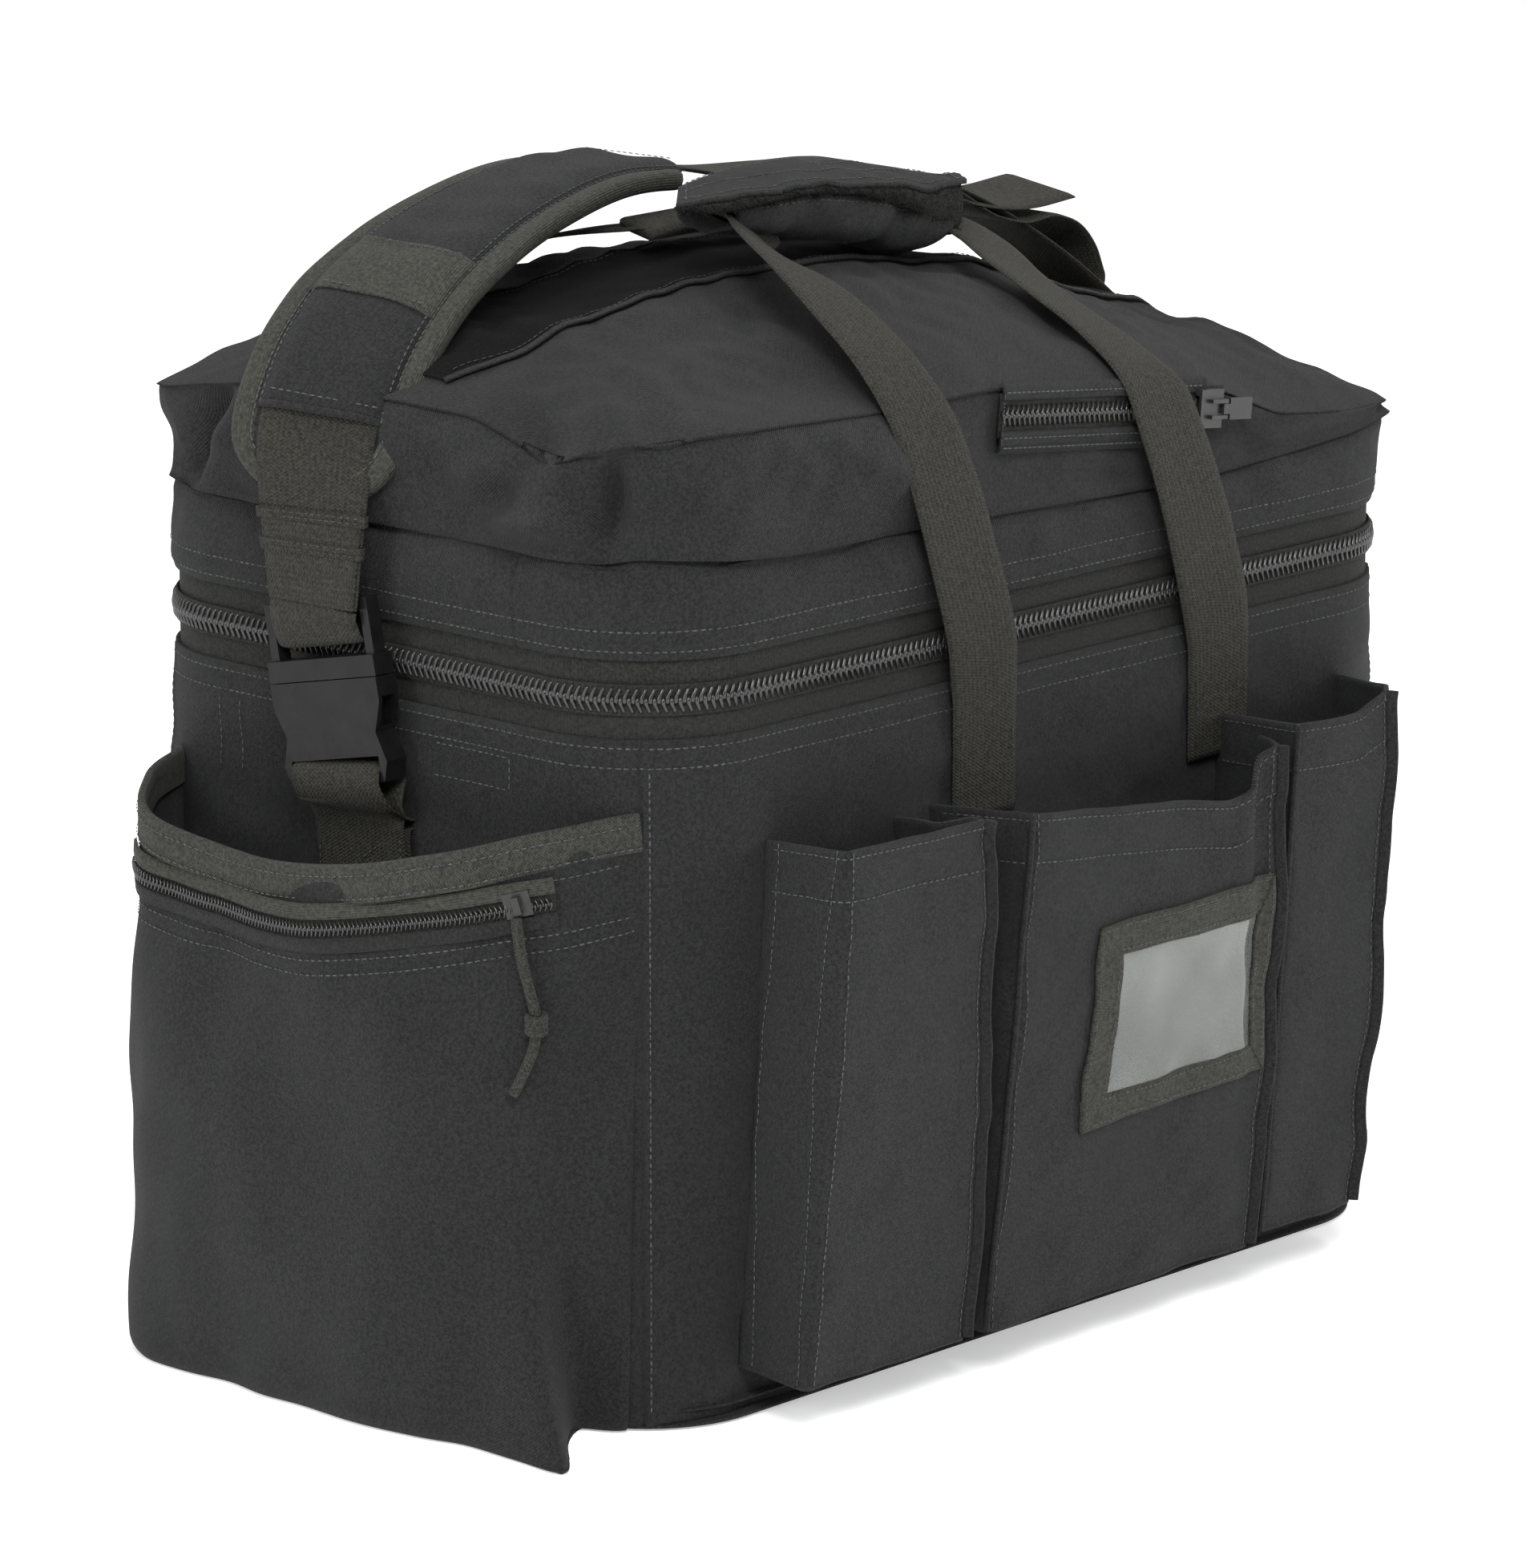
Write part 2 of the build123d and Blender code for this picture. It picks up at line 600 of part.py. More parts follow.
# Pull cord: run along the pocket, distance from its wall and height, then the knot's middle.
CORD_ROUTE = [
    (0.0, 7.4, 217.6), (-1.2, 7.0, 204.0), (-4.6, 6.4, 190.0), (-8.4, 6.2, 175.0),
    (-5.4, 6.4, 160.0), (2.0, 6.0, 146.0),
]
KNOT = 3


def on_pocket(run, out, height):
    """Point beside the pocket's slanted wall."""
    place = RUN_START + FLAT_RUN * run + OUTWARD * out
    return Vector(place.X, place.Y, height)


def cord_path(route):
    """Corner radii of a cord's route, each as large as its two runs allow."""
    radii = []
    for before, here, after in zip(route, route[1:], route[2:]):
        run = min((here - before).length, (after - here).length)
        turn = (here - before).get_angle(after - here)
        radii.append(0.45 * run / tan(radians(turn) / 2))
    return radii


cord_points = [on_pocket(*p) for p in CORD_ROUTE]
cord_radii = cord_path(cord_points)
print("pull cord radii", [round(r, 1) for r in cord_radii])

with BuildPart() as end_pull_cord:
    with BuildLine() as cord_line:
        FilletPolyline(*cord_points, radius=cord_radii)
    with BuildSketch(cord_line.line ^ 0):
        Circle(PULL_CORD / 2)
    sweep(path=cord_line.line)
write(end_pull_cord, "end_pull_cord")
cord_length = sum(edge.length for edge in cord_line.edges())
print("pull cord length", round(cord_length, 2), "volume ratio",
      round(end_pull_cord.part.volume / (3.14159265 * PULL_CORD**2 / 4 * cord_length), 4))

with BuildPart() as end_pull_knot:
    with Locations(cord_points[KNOT]):
        Box(9.0, 8.0, 10.0)
    fillet(end_pull_knot.edges(), radius=2.0)
write(end_pull_knot, "end_pull_knot")
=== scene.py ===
"""Looks of the soft flight bag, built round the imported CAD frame.

Tables and helper functions work in millimetres; every mesh is written in metres, in the row frame.
"""

import bmesh
import bpy
import numpy as np
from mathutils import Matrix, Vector


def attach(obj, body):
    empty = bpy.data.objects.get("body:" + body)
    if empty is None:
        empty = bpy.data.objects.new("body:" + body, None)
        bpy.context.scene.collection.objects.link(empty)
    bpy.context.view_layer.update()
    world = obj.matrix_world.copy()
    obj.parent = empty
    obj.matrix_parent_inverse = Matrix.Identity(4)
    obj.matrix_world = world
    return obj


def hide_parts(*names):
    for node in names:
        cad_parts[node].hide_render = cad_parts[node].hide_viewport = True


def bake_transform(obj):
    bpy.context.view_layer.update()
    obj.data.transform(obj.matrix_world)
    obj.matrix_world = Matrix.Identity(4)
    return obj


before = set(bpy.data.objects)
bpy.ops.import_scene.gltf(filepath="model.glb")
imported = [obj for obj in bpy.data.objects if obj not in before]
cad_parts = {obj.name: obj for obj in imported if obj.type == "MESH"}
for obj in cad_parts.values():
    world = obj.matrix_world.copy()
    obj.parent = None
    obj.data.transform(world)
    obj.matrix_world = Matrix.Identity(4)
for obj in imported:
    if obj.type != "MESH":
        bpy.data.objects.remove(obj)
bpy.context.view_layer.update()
MM = 0.001

# ---------------------------------------------------------------- camera
AZIMUTH, ELEVATION, DISTANCE = np.radians(-46.87), np.radians(13.66), 3.379
TARGET = Vector((-0.0132, 0.0, 0.2072))
back = Vector((np.sin(AZIMUTH) * np.cos(ELEVATION), -np.cos(AZIMUTH) * np.cos(ELEVATION),
               np.sin(ELEVATION)))
camera_data = bpy.data.cameras.new("camera")
camera_data.lens, camera_data.sensor_width = 184.05, 36.0
camera = bpy.data.objects.new("camera", camera_data)
camera.location = TARGET + back * DISTANCE
camera.rotation_euler = (-back).to_track_quat("-Z", "Y").to_euler()
bpy.context.scene.collection.objects.link(camera)
bpy.context.scene.camera = camera

# ---------------------------------------------------------------- pull cord of the end pocket
CORD_POINTS = [
    (-272.25, -110.96, 217.6), (-271.27, -111.76, 204.0), (-268.94, -114.31, 190.0),
    (-266.74, -117.41, 175.0), (-268.51, -114.99, 160.0), (-272.14, -108.52, 146.0),
]
CORD_DIAMETER = 4.5


def nurbs(name, points, bevel):
    """Smooth cord line through the route's control points."""
    data = bpy.data.curves.new(name, "CURVE")
    data.dimensions = "3D"
    data.resolution_u = 12
    data.bevel_depth = bevel * MM
    data.bevel_resolution = 4
    data.use_fill_caps = True
    spline = data.splines.new("NURBS")
    spline.points.add(len(points) - 1)
    for point, place in zip(spline.points, points):
        point.co = (*[c * MM for c in place], 1.0)
    spline.order_u = 3
    spline.use_endpoint_u = True
    obj = bpy.data.objects.new(name, data)
    bpy.context.scene.collection.objects.link(obj)
    return obj


cord = nurbs("pull_cord", CORD_POINTS, CORD_DIAMETER / 2)


# ---------------------------------------------------------------- numbers and curves
def norm(v):
    """Unit vectors."""
    return v / np.maximum(np.linalg.norm(v, axis=-1, keepdims=True), 1e-9)


def step(x, low, high):
    """Smooth step from 0 at low to 1 at high."""
    t = np.clip((np.asarray(x, float) - low) / (high - low), 0, 1)
    return t * t * (3 - 2 * t)


def bump(x, middle, width):
    """Bell of height 1."""
    return np.exp(-(((np.asarray(x, float) - middle) / width) ** 2))


def wobble(p, wave, seed, count=16):
    """Seeded smooth noise of about unit size, with features about wave millimetres across."""
    rng = np.random.default_rng(seed)
    axes = norm(rng.normal(size=(count, p.shape[-1])))
    axes *= (2 * np.pi / wave) * rng.uniform(0.6, 1.6, (count, 1))
    phase = rng.uniform(0, 2 * np.pi, count)
    total = np.zeros(p.shape[:-1])
    for axis, start in zip(axes, phase):
        total += np.cos(p @ axis + start)
    return total * np.sqrt(2.0 / count)


def spline(points, count):
    """Evenly numbered points on a smooth curve through control points of any width."""
    p = np.asarray(points, float)
    knots = run_along(p[:, :3])
    slope = np.gradient(p, knots, axis=0, edge_order=1)
    t = np.linspace(0, knots[-1], count)
    i = np.clip(np.searchsorted(knots, t, side="right") - 1, 0, len(p) - 2)
    h = (knots[i + 1] - knots[i])[:, None]
    u = ((t - knots[i]) / h[:, 0])[:, None]
    return ((2 * u**3 - 3 * u**2 + 1) * p[i] + (u**3 - 2 * u**2 + u) * h * slope[i]
            + (-2 * u**3 + 3 * u**2) * p[i + 1] + (u**3 - u**2) * h * slope[i + 1])


def run_along(line):
    """Distance from a line's start to each of its points."""
    return np.concatenate([[0], np.cumsum(np.linalg.norm(np.diff(line, axis=0), axis=1))])


def lookup(at, run, columns):
    """Rows of a table of columns at the given runs."""
    return np.stack([np.interp(at, run, column) for column in np.transpose(columns)], -1)


def crease(a, b, start, end, width, height):
    """Ridge or valley along a line in a surface's own (a, b) millimetres."""
    ax, ay = start
    dx, dy = end[0] - ax, end[1] - ay
    t = np.clip(((a - ax) * dx + (b - ay) * dy) / (dx * dx + dy * dy), 0, 1)
    far = np.hypot(a - ax - t * dx, b - ay - t * dy)
    return height * np.exp(-((far / width) ** 2)) * (0.35 + 0.65 * np.sin(np.pi * (0.15 + 0.7 * t)))


# ---------------------------------------------------------------- the bag's outline
CORNER = 58.0
ARC = CORNER * np.pi / 2
SIDES = [181.0, ARC, 188.0, ARC, 362.0, ARC, 188.0, ARC, 181.0]
BREAKS = np.concatenate([[0], np.cumsum(SIDES)])
PERIMETER = BREAKS[-1]
CORE_X = [0, -181, -181, -181, -181, 181, 181, 181, 181, 0]
CORE_Y = [94, 94, 94, -94, -94, -94, -94, 94, 94, 94]
TURN = np.radians([90, 90, 180, 180, 270, 270, 360, 360, 450, 450])


def outline(s, proud=0.0):
    """Point x, y at distance s round the bag, and its outward normal. s is 0 at the rear's middle,
    and goes by the left end (366), the front (732) and the right end (1098)."""
    s = np.mod(s, PERIMETER)
    angle = np.interp(s, BREAKS, TURN)
    nx, ny = np.cos(angle), np.sin(angle)
    x = np.interp(s, BREAKS, CORE_X) + (CORNER + proud) * nx
    y = np.interp(s, BREAKS, CORE_Y) + (CORNER + proud) * ny
    return x, y, nx, ny


def table(s, knots, soften=9.0):
    """Value at s from a closed list of (s, value), rounded over soften millimetres."""
    fine = np.arange(0, PERIMETER, 2.0)
    at, value = np.array(sorted(knots), float).T
    values = np.interp(fine, at, value, period=PERIMETER)
    offsets = np.minimum(fine, PERIMETER - fine)
    kernel = np.exp(-((offsets / soften) ** 2))
    kernel /= kernel.sum()
    values = np.real(np.fft.ifft(np.fft.fft(values) * np.fft.fft(kernel)))
    return np.interp(np.mod(s, PERIMETER), np.append(fine, PERIMETER), np.append(values, values[0]))


# ---------------------------------------------------------------- mesh helpers
def mesh_object(name, points, faces, uvs=None, material=None, smooth=True):
    """Object from points in millimetres; uvs holds one pair in metres per face corner."""
    data = bpy.data.meshes.new(name)
    data.from_pydata((np.asarray(points, float) * MM).tolist(), [], faces)
    if uvs is not None:
        layer = data.uv_layers.new(name="UVMap")
        layer.data.foreach_set("uv", np.asarray(uvs, np.float32).ravel())
    data.polygons.foreach_set("use_smooth", [smooth] * len(data.polygons))
    if material:
        data.materials.append(material)
    data.update()
    obj = bpy.data.objects.new(name, data)
    bpy.context.scene.collection.objects.link(obj)
    return obj


def grid_faces(nu, nv, wrap_u=False, wrap_v=False, start=0):
    """Quads of a grid of points [i, j], and the (i, j) of each corner."""
    i, j = np.meshgrid(np.arange(nu if wrap_u else nu - 1), np.arange(nv if wrap_v else nv - 1),
                       indexing="ij")
    i, j = i.ravel(), j.ravel()
    corners = np.stack([np.stack([i, j], 1), np.stack([i + 1, j], 1),
                        np.stack([i + 1, j + 1], 1), np.stack([i, j + 1], 1)], 1)
    index = (corners[..., 0] % nu) * nv + corners[..., 1] % nv + start
    return index, corners


def grid_object(name, points, material, wrap_u=False, wrap_v=False, flip=False, thick=0.0,
                crisp=False):
    """Quad sheet through points[i, j] with UVs in metres; thick is laid on its inner side."""
    nu, nv = points.shape[:2]
    faces, corners = grid_faces(nu, nv, wrap_u, wrap_v)
    along = np.vstack([points, points[:1]]) if wrap_u else points
    across = np.hstack([points, points[:, :1]]) if wrap_v else points
    u = np.concatenate([[0], np.cumsum(np.median(
        np.linalg.norm(np.diff(along, axis=0), axis=-1), axis=1))]) * MM
    v = np.concatenate([[0], np.cumsum(np.median(
        np.linalg.norm(np.diff(across, axis=1), axis=-1), axis=0))]) * MM
    uvs = np.stack([u[corners[..., 0]], v[corners[..., 1]]], -1)
    if flip:
        faces, uvs = faces[:, ::-1], uvs[:, ::-1]
    obj = mesh_object(name, points.reshape(-1, 3), faces.tolist(), uvs.reshape(-1, 2), material,
                      not crisp)
    if thick:
        solid = obj.modifiers.new("thickness", "SOLIDIFY")
        solid.thickness, solid.offset = thick * MM, -1.0
    return obj


def finish_piece(obj, body, slot, *nodes):
    """Ride a piece on its body and hide the CAD nodes it stands for; slot is not used."""
    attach(obj, body)
    if nodes:
        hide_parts(*nodes)
    return obj


def sheet(name, points, material, body, slot, *nodes, **options):
    """Quad sheet that rides on a body."""
    return finish_piece(grid_object(name, points, material, **options), body, slot, *nodes)


def ribbon(path, across, width, thick, count=None, profile="flat"):
    """Closed band along a smooth path as a grid [along, round]; across is its width direction."""
    path = np.asarray(path, float)
    rows = np.hstack([path, np.broadcast_to(np.asarray(across, float), path.shape),
                      np.broadcast_to(np.asarray(width, float), (len(path),))[:, None]])
    count = count or max(8, int(np.linalg.norm(np.diff(path, axis=0), axis=1).sum() / 4))
    rows = spline(rows, count)
    centre, side, wide = rows[:, :3], rows[:, 3:6], rows[:, 6:7]
    tangent = norm(np.gradient(centre, axis=0))
    side = norm(side - tangent * (side * tangent).sum(1, keepdims=True))
    up = np.cross(tangent, side)
    if profile == "round":
        angle = np.linspace(0, 2 * np.pi, 12, endpoint=False)
        shape = [(0.5 * np.cos(a), 0.5 * np.sin(a)) for a in angle]
    else:
        xs = np.linspace(-0.5, 0.5, 11)
        high = [(x, 0.5 - 0.32 * (abs(x) > 0.49)) for x in xs]
        shape = high + [(x, -y) for x, y in reversed(high)]
    rings = [centre + side * wide * x + up * thick * y for x, y in shape]
    return np.stack(rings, 1), centre, side, up


def ribbon_object(name, path, across, width, thick, material, count=None, profile="flat"):
    """Solid webbing band with its two ends closed."""
    points, centre, side, up = ribbon(path, across, width, thick, count, profile)
    nu, nv = points.shape[:2]
    faces, corners = grid_faces(nu, nv, wrap_v=True)
    length = run_along(centre)
    girth = run_along(np.vstack([points[nu // 2], points[nu // 2][:1]]))
    half = girth[nv // 2]
    girth = np.where(girth > half, 2 * half - girth, girth)
    uvs = np.stack([girth[corners[..., 1]], length[corners[..., 0]]], -1) * MM
    faces, uvs = faces.tolist(), uvs.reshape(-1, 2).tolist()
    for ring, order in ((0, range(nv)), (nu - 1, reversed(range(nv)))):
        faces.append([ring * nv + j for j in order])
        uvs += [[0.0, 0.0]] * nv
    return mesh_object(name, points.reshape(-1, 3), faces, uvs, material), centre, side, up


STITCH_SHAPE = np.array([(x, y * r, z * r) for x, r in ((-0.5, 0.35), (-0.25, 1.0), (0.25, 1.0),
                         (0.5, 0.35)) for y, z in ((1, 0), (0, 0.55), (-1, 0), (0, -0.55))])
STITCH_FACES = [[a * 4 + b, a * 4 + (b + 1) % 4, a * 4 + 4 + (b + 1) % 4, a * 4 + 4 + b]
                for a in range(3) for b in range(4)] + [[3, 2, 1, 0], [12, 13, 14, 15]]


def stitches(name, rows, material, body, pitch=3.3, length=2.3, wide=0.36, seed=1):
    """Thread along rows of (points, normals): one small raised spindle for each stitch."""
    rng = np.random.default_rng(seed)
    points, faces = [], []
    for line, out in rows:
        line, out = np.asarray(line, float), np.asarray(out, float)
        run = run_along(line)
        at = np.arange(pitch / 2, run[-1], pitch)
        if not len(at):
            continue
        at = at + rng.uniform(-0.15, 0.15, len(at))
        here, up = lookup(at, run, line), norm(lookup(at, run, out))
        along = norm(lookup(at + 0.8, run, line) - lookup(at - 0.8, run, line))
        side = norm(np.cross(up, along))
        for p, a, s, u in zip(here, along, side, up):
            base = len(points)
            size = length * rng.uniform(0.9, 1.1)
            shape = (p + u * 0.12 + STITCH_SHAPE[:, :1] * size * a
                     + STITCH_SHAPE[:, 1:2] * wide * s + STITCH_SHAPE[:, 2:] * wide * u)
            points.extend(shape)
            faces.extend([[base + k for k in face] for face in STITCH_FACES])
    finish_piece(mesh_object(name, points, faces, None, material), body, "webbing")


# ---------------------------------------------------------------- materials
class Graph:
    """Small helper that adds and links shader nodes."""

    def __init__(self, name):
        self.material = bpy.data.materials.new(name)
        self.material.use_nodes = True
        self.tree = self.material.node_tree
        self.shader = self.tree.nodes["Principled BSDF"]

    def node(self, kind, **settings):
        """New node with its settings."""
        made = self.tree.nodes.new(kind)
        for key, value in settings.items():
            setattr(made, key, value)
        return made

    def feed(self, socket, value):
        """Set a socket to a number or colour, or link it to an output."""
        if isinstance(value, (int, float)):
            socket.default_value = value
        elif isinstance(value, (tuple, list)):
            socket.default_value = (*value, 1.0) if len(value) == 3 else value
        else:
            self.tree.links.new(value, socket)

    def math(self, operation, a, b=0.0):
        """Output of a math node."""
        made = self.node("ShaderNodeMath", operation=operation)
        self.feed(made.inputs[0], a)
        self.feed(made.inputs[1], b)
        return made.outputs[0]

    def axes(self, source="UV"):
        """Separate x, y and z outputs of a texture coordinate."""
        coordinates = self.node("ShaderNodeTexCoord")
        split = self.node("ShaderNodeSeparateXYZ")
        self.tree.links.new(coordinates.outputs[source], split.inputs[0])
        return split.outputs

    def noise(self, scale, detail=2.0, source="Object", rough=0.5):
        coordinates = self.node("ShaderNodeTexCoord")
        made = self.node("ShaderNodeTexNoise")
        self.tree.links.new(coordinates.outputs[source], made.inputs["Vector"])
        made.inputs["Scale"].default_value = scale
        made.inputs["Detail"].default_value = detail
        made.inputs["Roughness"].default_value = rough
        return made.outputs["Fac"]

    def remap(self, value, low, high, to_low=0.0, to_high=1.0):
        made = self.node("ShaderNodeMapRange")
        self.feed(made.inputs["Value"], value)
        for key, number in (("From Min", low), ("From Max", high), ("To Min", to_low),
                            ("To Max", to_high)):
            made.inputs[key].default_value = number
        return made.outputs["Result"]

    def mix(self, factor, a, b):
        made = self.node("ShaderNodeMix", data_type="RGBA")
        self.feed(made.inputs["Factor"], factor)
        self.feed(made.inputs[6], a)
        self.feed(made.inputs[7], b)
        return made.outputs[2]

    def bump(self, height, strength, distance, under=None):
        made = self.node("ShaderNodeBump")
        made.inputs["Strength"].default_value = strength
        made.inputs["Distance"].default_value = distance
        self.feed(made.inputs["Height"], height)
        if under is not None:
            self.tree.links.new(under, made.inputs["Normal"])
        return made.outputs["Normal"]

    def output(self, **sockets):
        for key, value in sockets.items():
            self.feed(self.shader.inputs[key.replace("_", " ")], value)
        return self.material


def scaled(colour, k):
    return tuple(c * k for c in colour)


def wave(g, coordinate, period, shift=0.0):
    """Sine of a UV coordinate, in metres, with a period in millimetres."""
    turns = g.math("MULTIPLY", coordinate, 2 * np.pi / (period * MM))
    return g.math("SINE", g.math("ADD", turns, shift))


def cloth_material(name, colour, kind="plain", pitch=1.15, sheen=0.25, rough=0.82, lint=0.0,
                   contrast=0.34, relief=0.00022):
    """Woven fabric: plain weave, webbing ribs, grosgrain ribs, twill or pile."""
    g = Graph(name)
    u, v, _ = g.axes("UV")
    if kind == "plain":
        thread = g.math("MULTIPLY", wave(g, u, pitch), wave(g, v, pitch))
    elif kind == "webbing":
        rib = wave(g, u, pitch * 1.6)
        slant = wave(g, g.math("ADD", v, g.math("MULTIPLY", rib, 0.00045)), pitch)
        thread = g.math("ADD", g.math("MULTIPLY", rib, 0.25), g.math("MULTIPLY", slant, 0.7))
    elif kind == "grosgrain":
        thread = g.math("ADD", g.math("MULTIPLY", wave(g, v, pitch), 0.7),
                        g.math("MULTIPLY", wave(g, u, pitch * 3.0), 0.2))
    elif kind == "twill":
        thread = wave(g, g.math("ADD", u, g.math("ABSOLUTE", g.math(
            "SUBTRACT", g.math("MODULO", v, 0.007), 0.0035))), pitch)
    else:
        thread = g.remap(g.noise(1500.0, 3.0), 0.3, 0.7, -1.0, 1.0)
    shade = g.math("MULTIPLY", thread, contrast * 0.5)
    cloud = g.remap(g.noise(9.0, 3.0), 0.3, 0.7, -0.05, 0.05)
    grain = g.remap(g.noise(750.0, 2.0), 0.3, 0.7, -0.45, 0.45)
    tone = g.math("ADD", g.math("ADD", shade, cloud), g.math("ADD", grain, 0.5))
    base = g.mix(tone, scaled(colour, 0.45), scaled(colour, 1.55))
    if lint:
        cells = g.node("ShaderNodeTexVoronoi")
        coordinates = g.node("ShaderNodeTexCoord")
        g.tree.links.new(coordinates.outputs["Object"], cells.inputs["Vector"])
        cells.inputs["Scale"].default_value = 55.0
        speck = g.math("LESS_THAN", cells.outputs["Distance"], 0.035)
        chosen = g.math("GREATER_THAN", cells.outputs["Color"], 1.0 - lint)
        base = g.mix(g.math("MULTIPLY", g.math("MULTIPLY", speck, chosen), 0.55), base,
                     (0.30, 0.29, 0.26))
    normal = g.bump(thread, 0.8, relief)
    return g.output(Base_Color=base, Roughness=rough, Normal=normal, Sheen_Weight=sheen,
                    Sheen_Roughness=0.4, Specular_IOR_Level=0.16)


def hard_material(name, colour, rough, metallic=0.0, grain=0.0002, shine=0.5):
    """Moulded plastic or coated metal, with a fine grain."""
    g = Graph(name)
    mottled = g.remap(g.noise(260.0, 4.0), 0.3, 0.7, -0.06, 0.06)
    base = g.mix(g.remap(g.noise(90.0, 3.0), 0.35, 0.65, 0.0, 1.0), scaled(colour, 0.8),
                 scaled(colour, 1.25))
    normal = g.bump(g.noise(1800.0, 2.0), 0.12, grain)
    return g.output(Base_Color=base, Roughness=g.math("ADD", mottled, rough), Normal=normal,
                    Metallic=metallic, Specular_IOR_Level=shine)


BLACK = (0.0140, 0.0141, 0.0147)
FABRIC = cloth_material("body_fabric", BLACK, lint=0.03, sheen=0.035, contrast=0.75, relief=0.0003)
LINING = cloth_material("lining_fabric", (0.014, 0.014, 0.015), pitch=0.9, sheen=0.02)
WEBBING = cloth_material("webbing", (0.021, 0.0205, 0.0165), "webbing", pitch=1.5, sheen=0.03,
                         contrast=0.6, relief=0.0003)
TAPE = cloth_material("zip_tape", (0.015, 0.015, 0.0135), "webbing", pitch=1.0, sheen=0.02,
                      contrast=0.5)
BINDING = cloth_material("binding_tape", (0.030, 0.030, 0.025), "grosgrain", pitch=1.1,
                         sheen=0.03, contrast=0.4)
HERRINGBONE = cloth_material("herringbone_tape", (0.030, 0.030, 0.026), "twill", pitch=1.3,
                             sheen=0.03, contrast=0.6)
PILE = cloth_material("loop_pile", (0.0030, 0.0030, 0.0029), "pile", sheen=0.0, rough=1.0,
                      contrast=1.3, relief=0.0011)
HOOK = cloth_material("hook_pile", (0.015, 0.015, 0.014), "pile", sheen=0.03, rough=0.95,
                      contrast=1.2, relief=0.0010)
THREAD = cloth_material("thread", (0.052, 0.054, 0.055), "pile", sheen=0.05, contrast=0.4,
                        relief=0.00005)
DARK_THREAD = cloth_material("dark_thread", (0.036, 0.036, 0.032), "pile", sheen=0.05,
                             contrast=0.4, relief=0.00005)
BRAID = cloth_material("braided_cord", (0.024, 0.024, 0.021), "pile", sheen=0.04, contrast=0.9,
                       relief=0.0003)
COIL = hard_material("zip_coil", (0.016, 0.016, 0.016), 0.24)
BUCKLE = hard_material("moulded_buckle", (0.006, 0.006, 0.0065), 0.30, shine=0.16)
METAL = hard_material("coated_metal", (0.016, 0.016, 0.0155), 0.30, shine=0.3)


def film_material():
    """Clear flexible sheet, rippled and slightly hazy; its grey colour and patchy opacity are also
    a painted reflection.
    """
    g = Graph("clear_film")
    ripple = g.bump(g.noise(20.0, 1.0), 0.7, 0.004)
    # Patchy grey opacity over the sheet: painted reflection swirls, with a slight haze of its own.
    haze_and_painted_reflection = g.remap(g.noise(22.0, 1.0), 0.35, 0.65, 0.30, 0.42)
    return g.output(Base_Color=(0.30, 0.32, 0.30), Roughness=0.05, Normal=ripple, Alpha=haze_and_painted_reflection,
                    Specular_IOR_Level=0.9, Coat_Weight=0.5, Coat_Roughness=0.03)


FILM = film_material()


def webbing(name, path, across, width, body, *nodes, thick=1.9, count=None):
    """Webbing band that rides on a body."""
    made = ribbon_object(name, path, across, width, thick, WEBBING, count)
    finish_piece(made[0], body, "webbing", *nodes)
    return made


# ---------------------------------------------------------------- main compartment
ZIP_Z = 300.0
SEAMS = (502.0, 962.0, 1233.0, 231.0)
SHELL_TOP = 284.0


def shell_proud(s, z):
    """How far the bag's wall stands out of its plain outline: lean, bulge, seams and slack."""
    x, y, nx, ny = outline(s)
    front, rear = np.clip(-ny, 0, 1) ** 2, np.clip(ny, 0, 1) ** 2
    left, right = np.clip(-nx, 0, 1) ** 2, np.clip(nx, 0, 1) ** 2
    belly = np.sin(np.pi * np.clip(z, 0, 300) / 300)
    proud = -8.0 * (1 - z / 300) * front + belly * (3 * front + 6 * rear + 2 * left + 5 * right)
    p = np.stack([x, y, z * np.ones_like(x)], -1)
    loose = step(300 - z, 4, 60)
    proud = proud + loose * (0.9 * wobble(p, 95, 3) + 0.4 * wobble(p, 34, 4))
    for seam in SEAMS:
        proud = proud - 1.3 * bump(s, seam, 1.1) + 0.7 * bump(s, seam + 3.0, 2.2)
    low = np.clip(6 - z, 0, 6) / 6
    return proud - 6 * (1 - np.sqrt(1 - low**2))


def shell(s, z):
    """Point on the bag's wall."""
    s, z = np.broadcast_arrays(np.asarray(s, float), np.asarray(z, float))
    x, y, nx, ny = outline(s)
    proud = shell_proud(s, z)
    return np.stack([x + nx * proud, y + ny * proud, z], -1)


def around(pitch=3.0, extra=()):
    """Distances round the bag, closer together beside seams and other sharp lines."""
    values = [np.arange(0, PERIMETER, pitch)]
    for middle in (*SEAMS, *extra):
        values.append(np.arange(middle - 5, middle + 6.1, 0.9))
    values = np.unique(np.round(np.concatenate(values), 2))
    keep = np.concatenate([[True], np.diff(values) > 0.5])
    return values[keep]


rounds = around()
heights = np.concatenate([[0, 0.8, 2, 4, 6], np.arange(9.5, SHELL_TOP - 1, 3.6), [SHELL_TOP]])
sheet("body_shell", shell(rounds[:, None], heights[None, :]), FABRIC, "bag", "fabric_body",
      "front_panel", "rear_panel", "left_end_panel", "right_end_panel", wrap_u=True, thick=2.2)


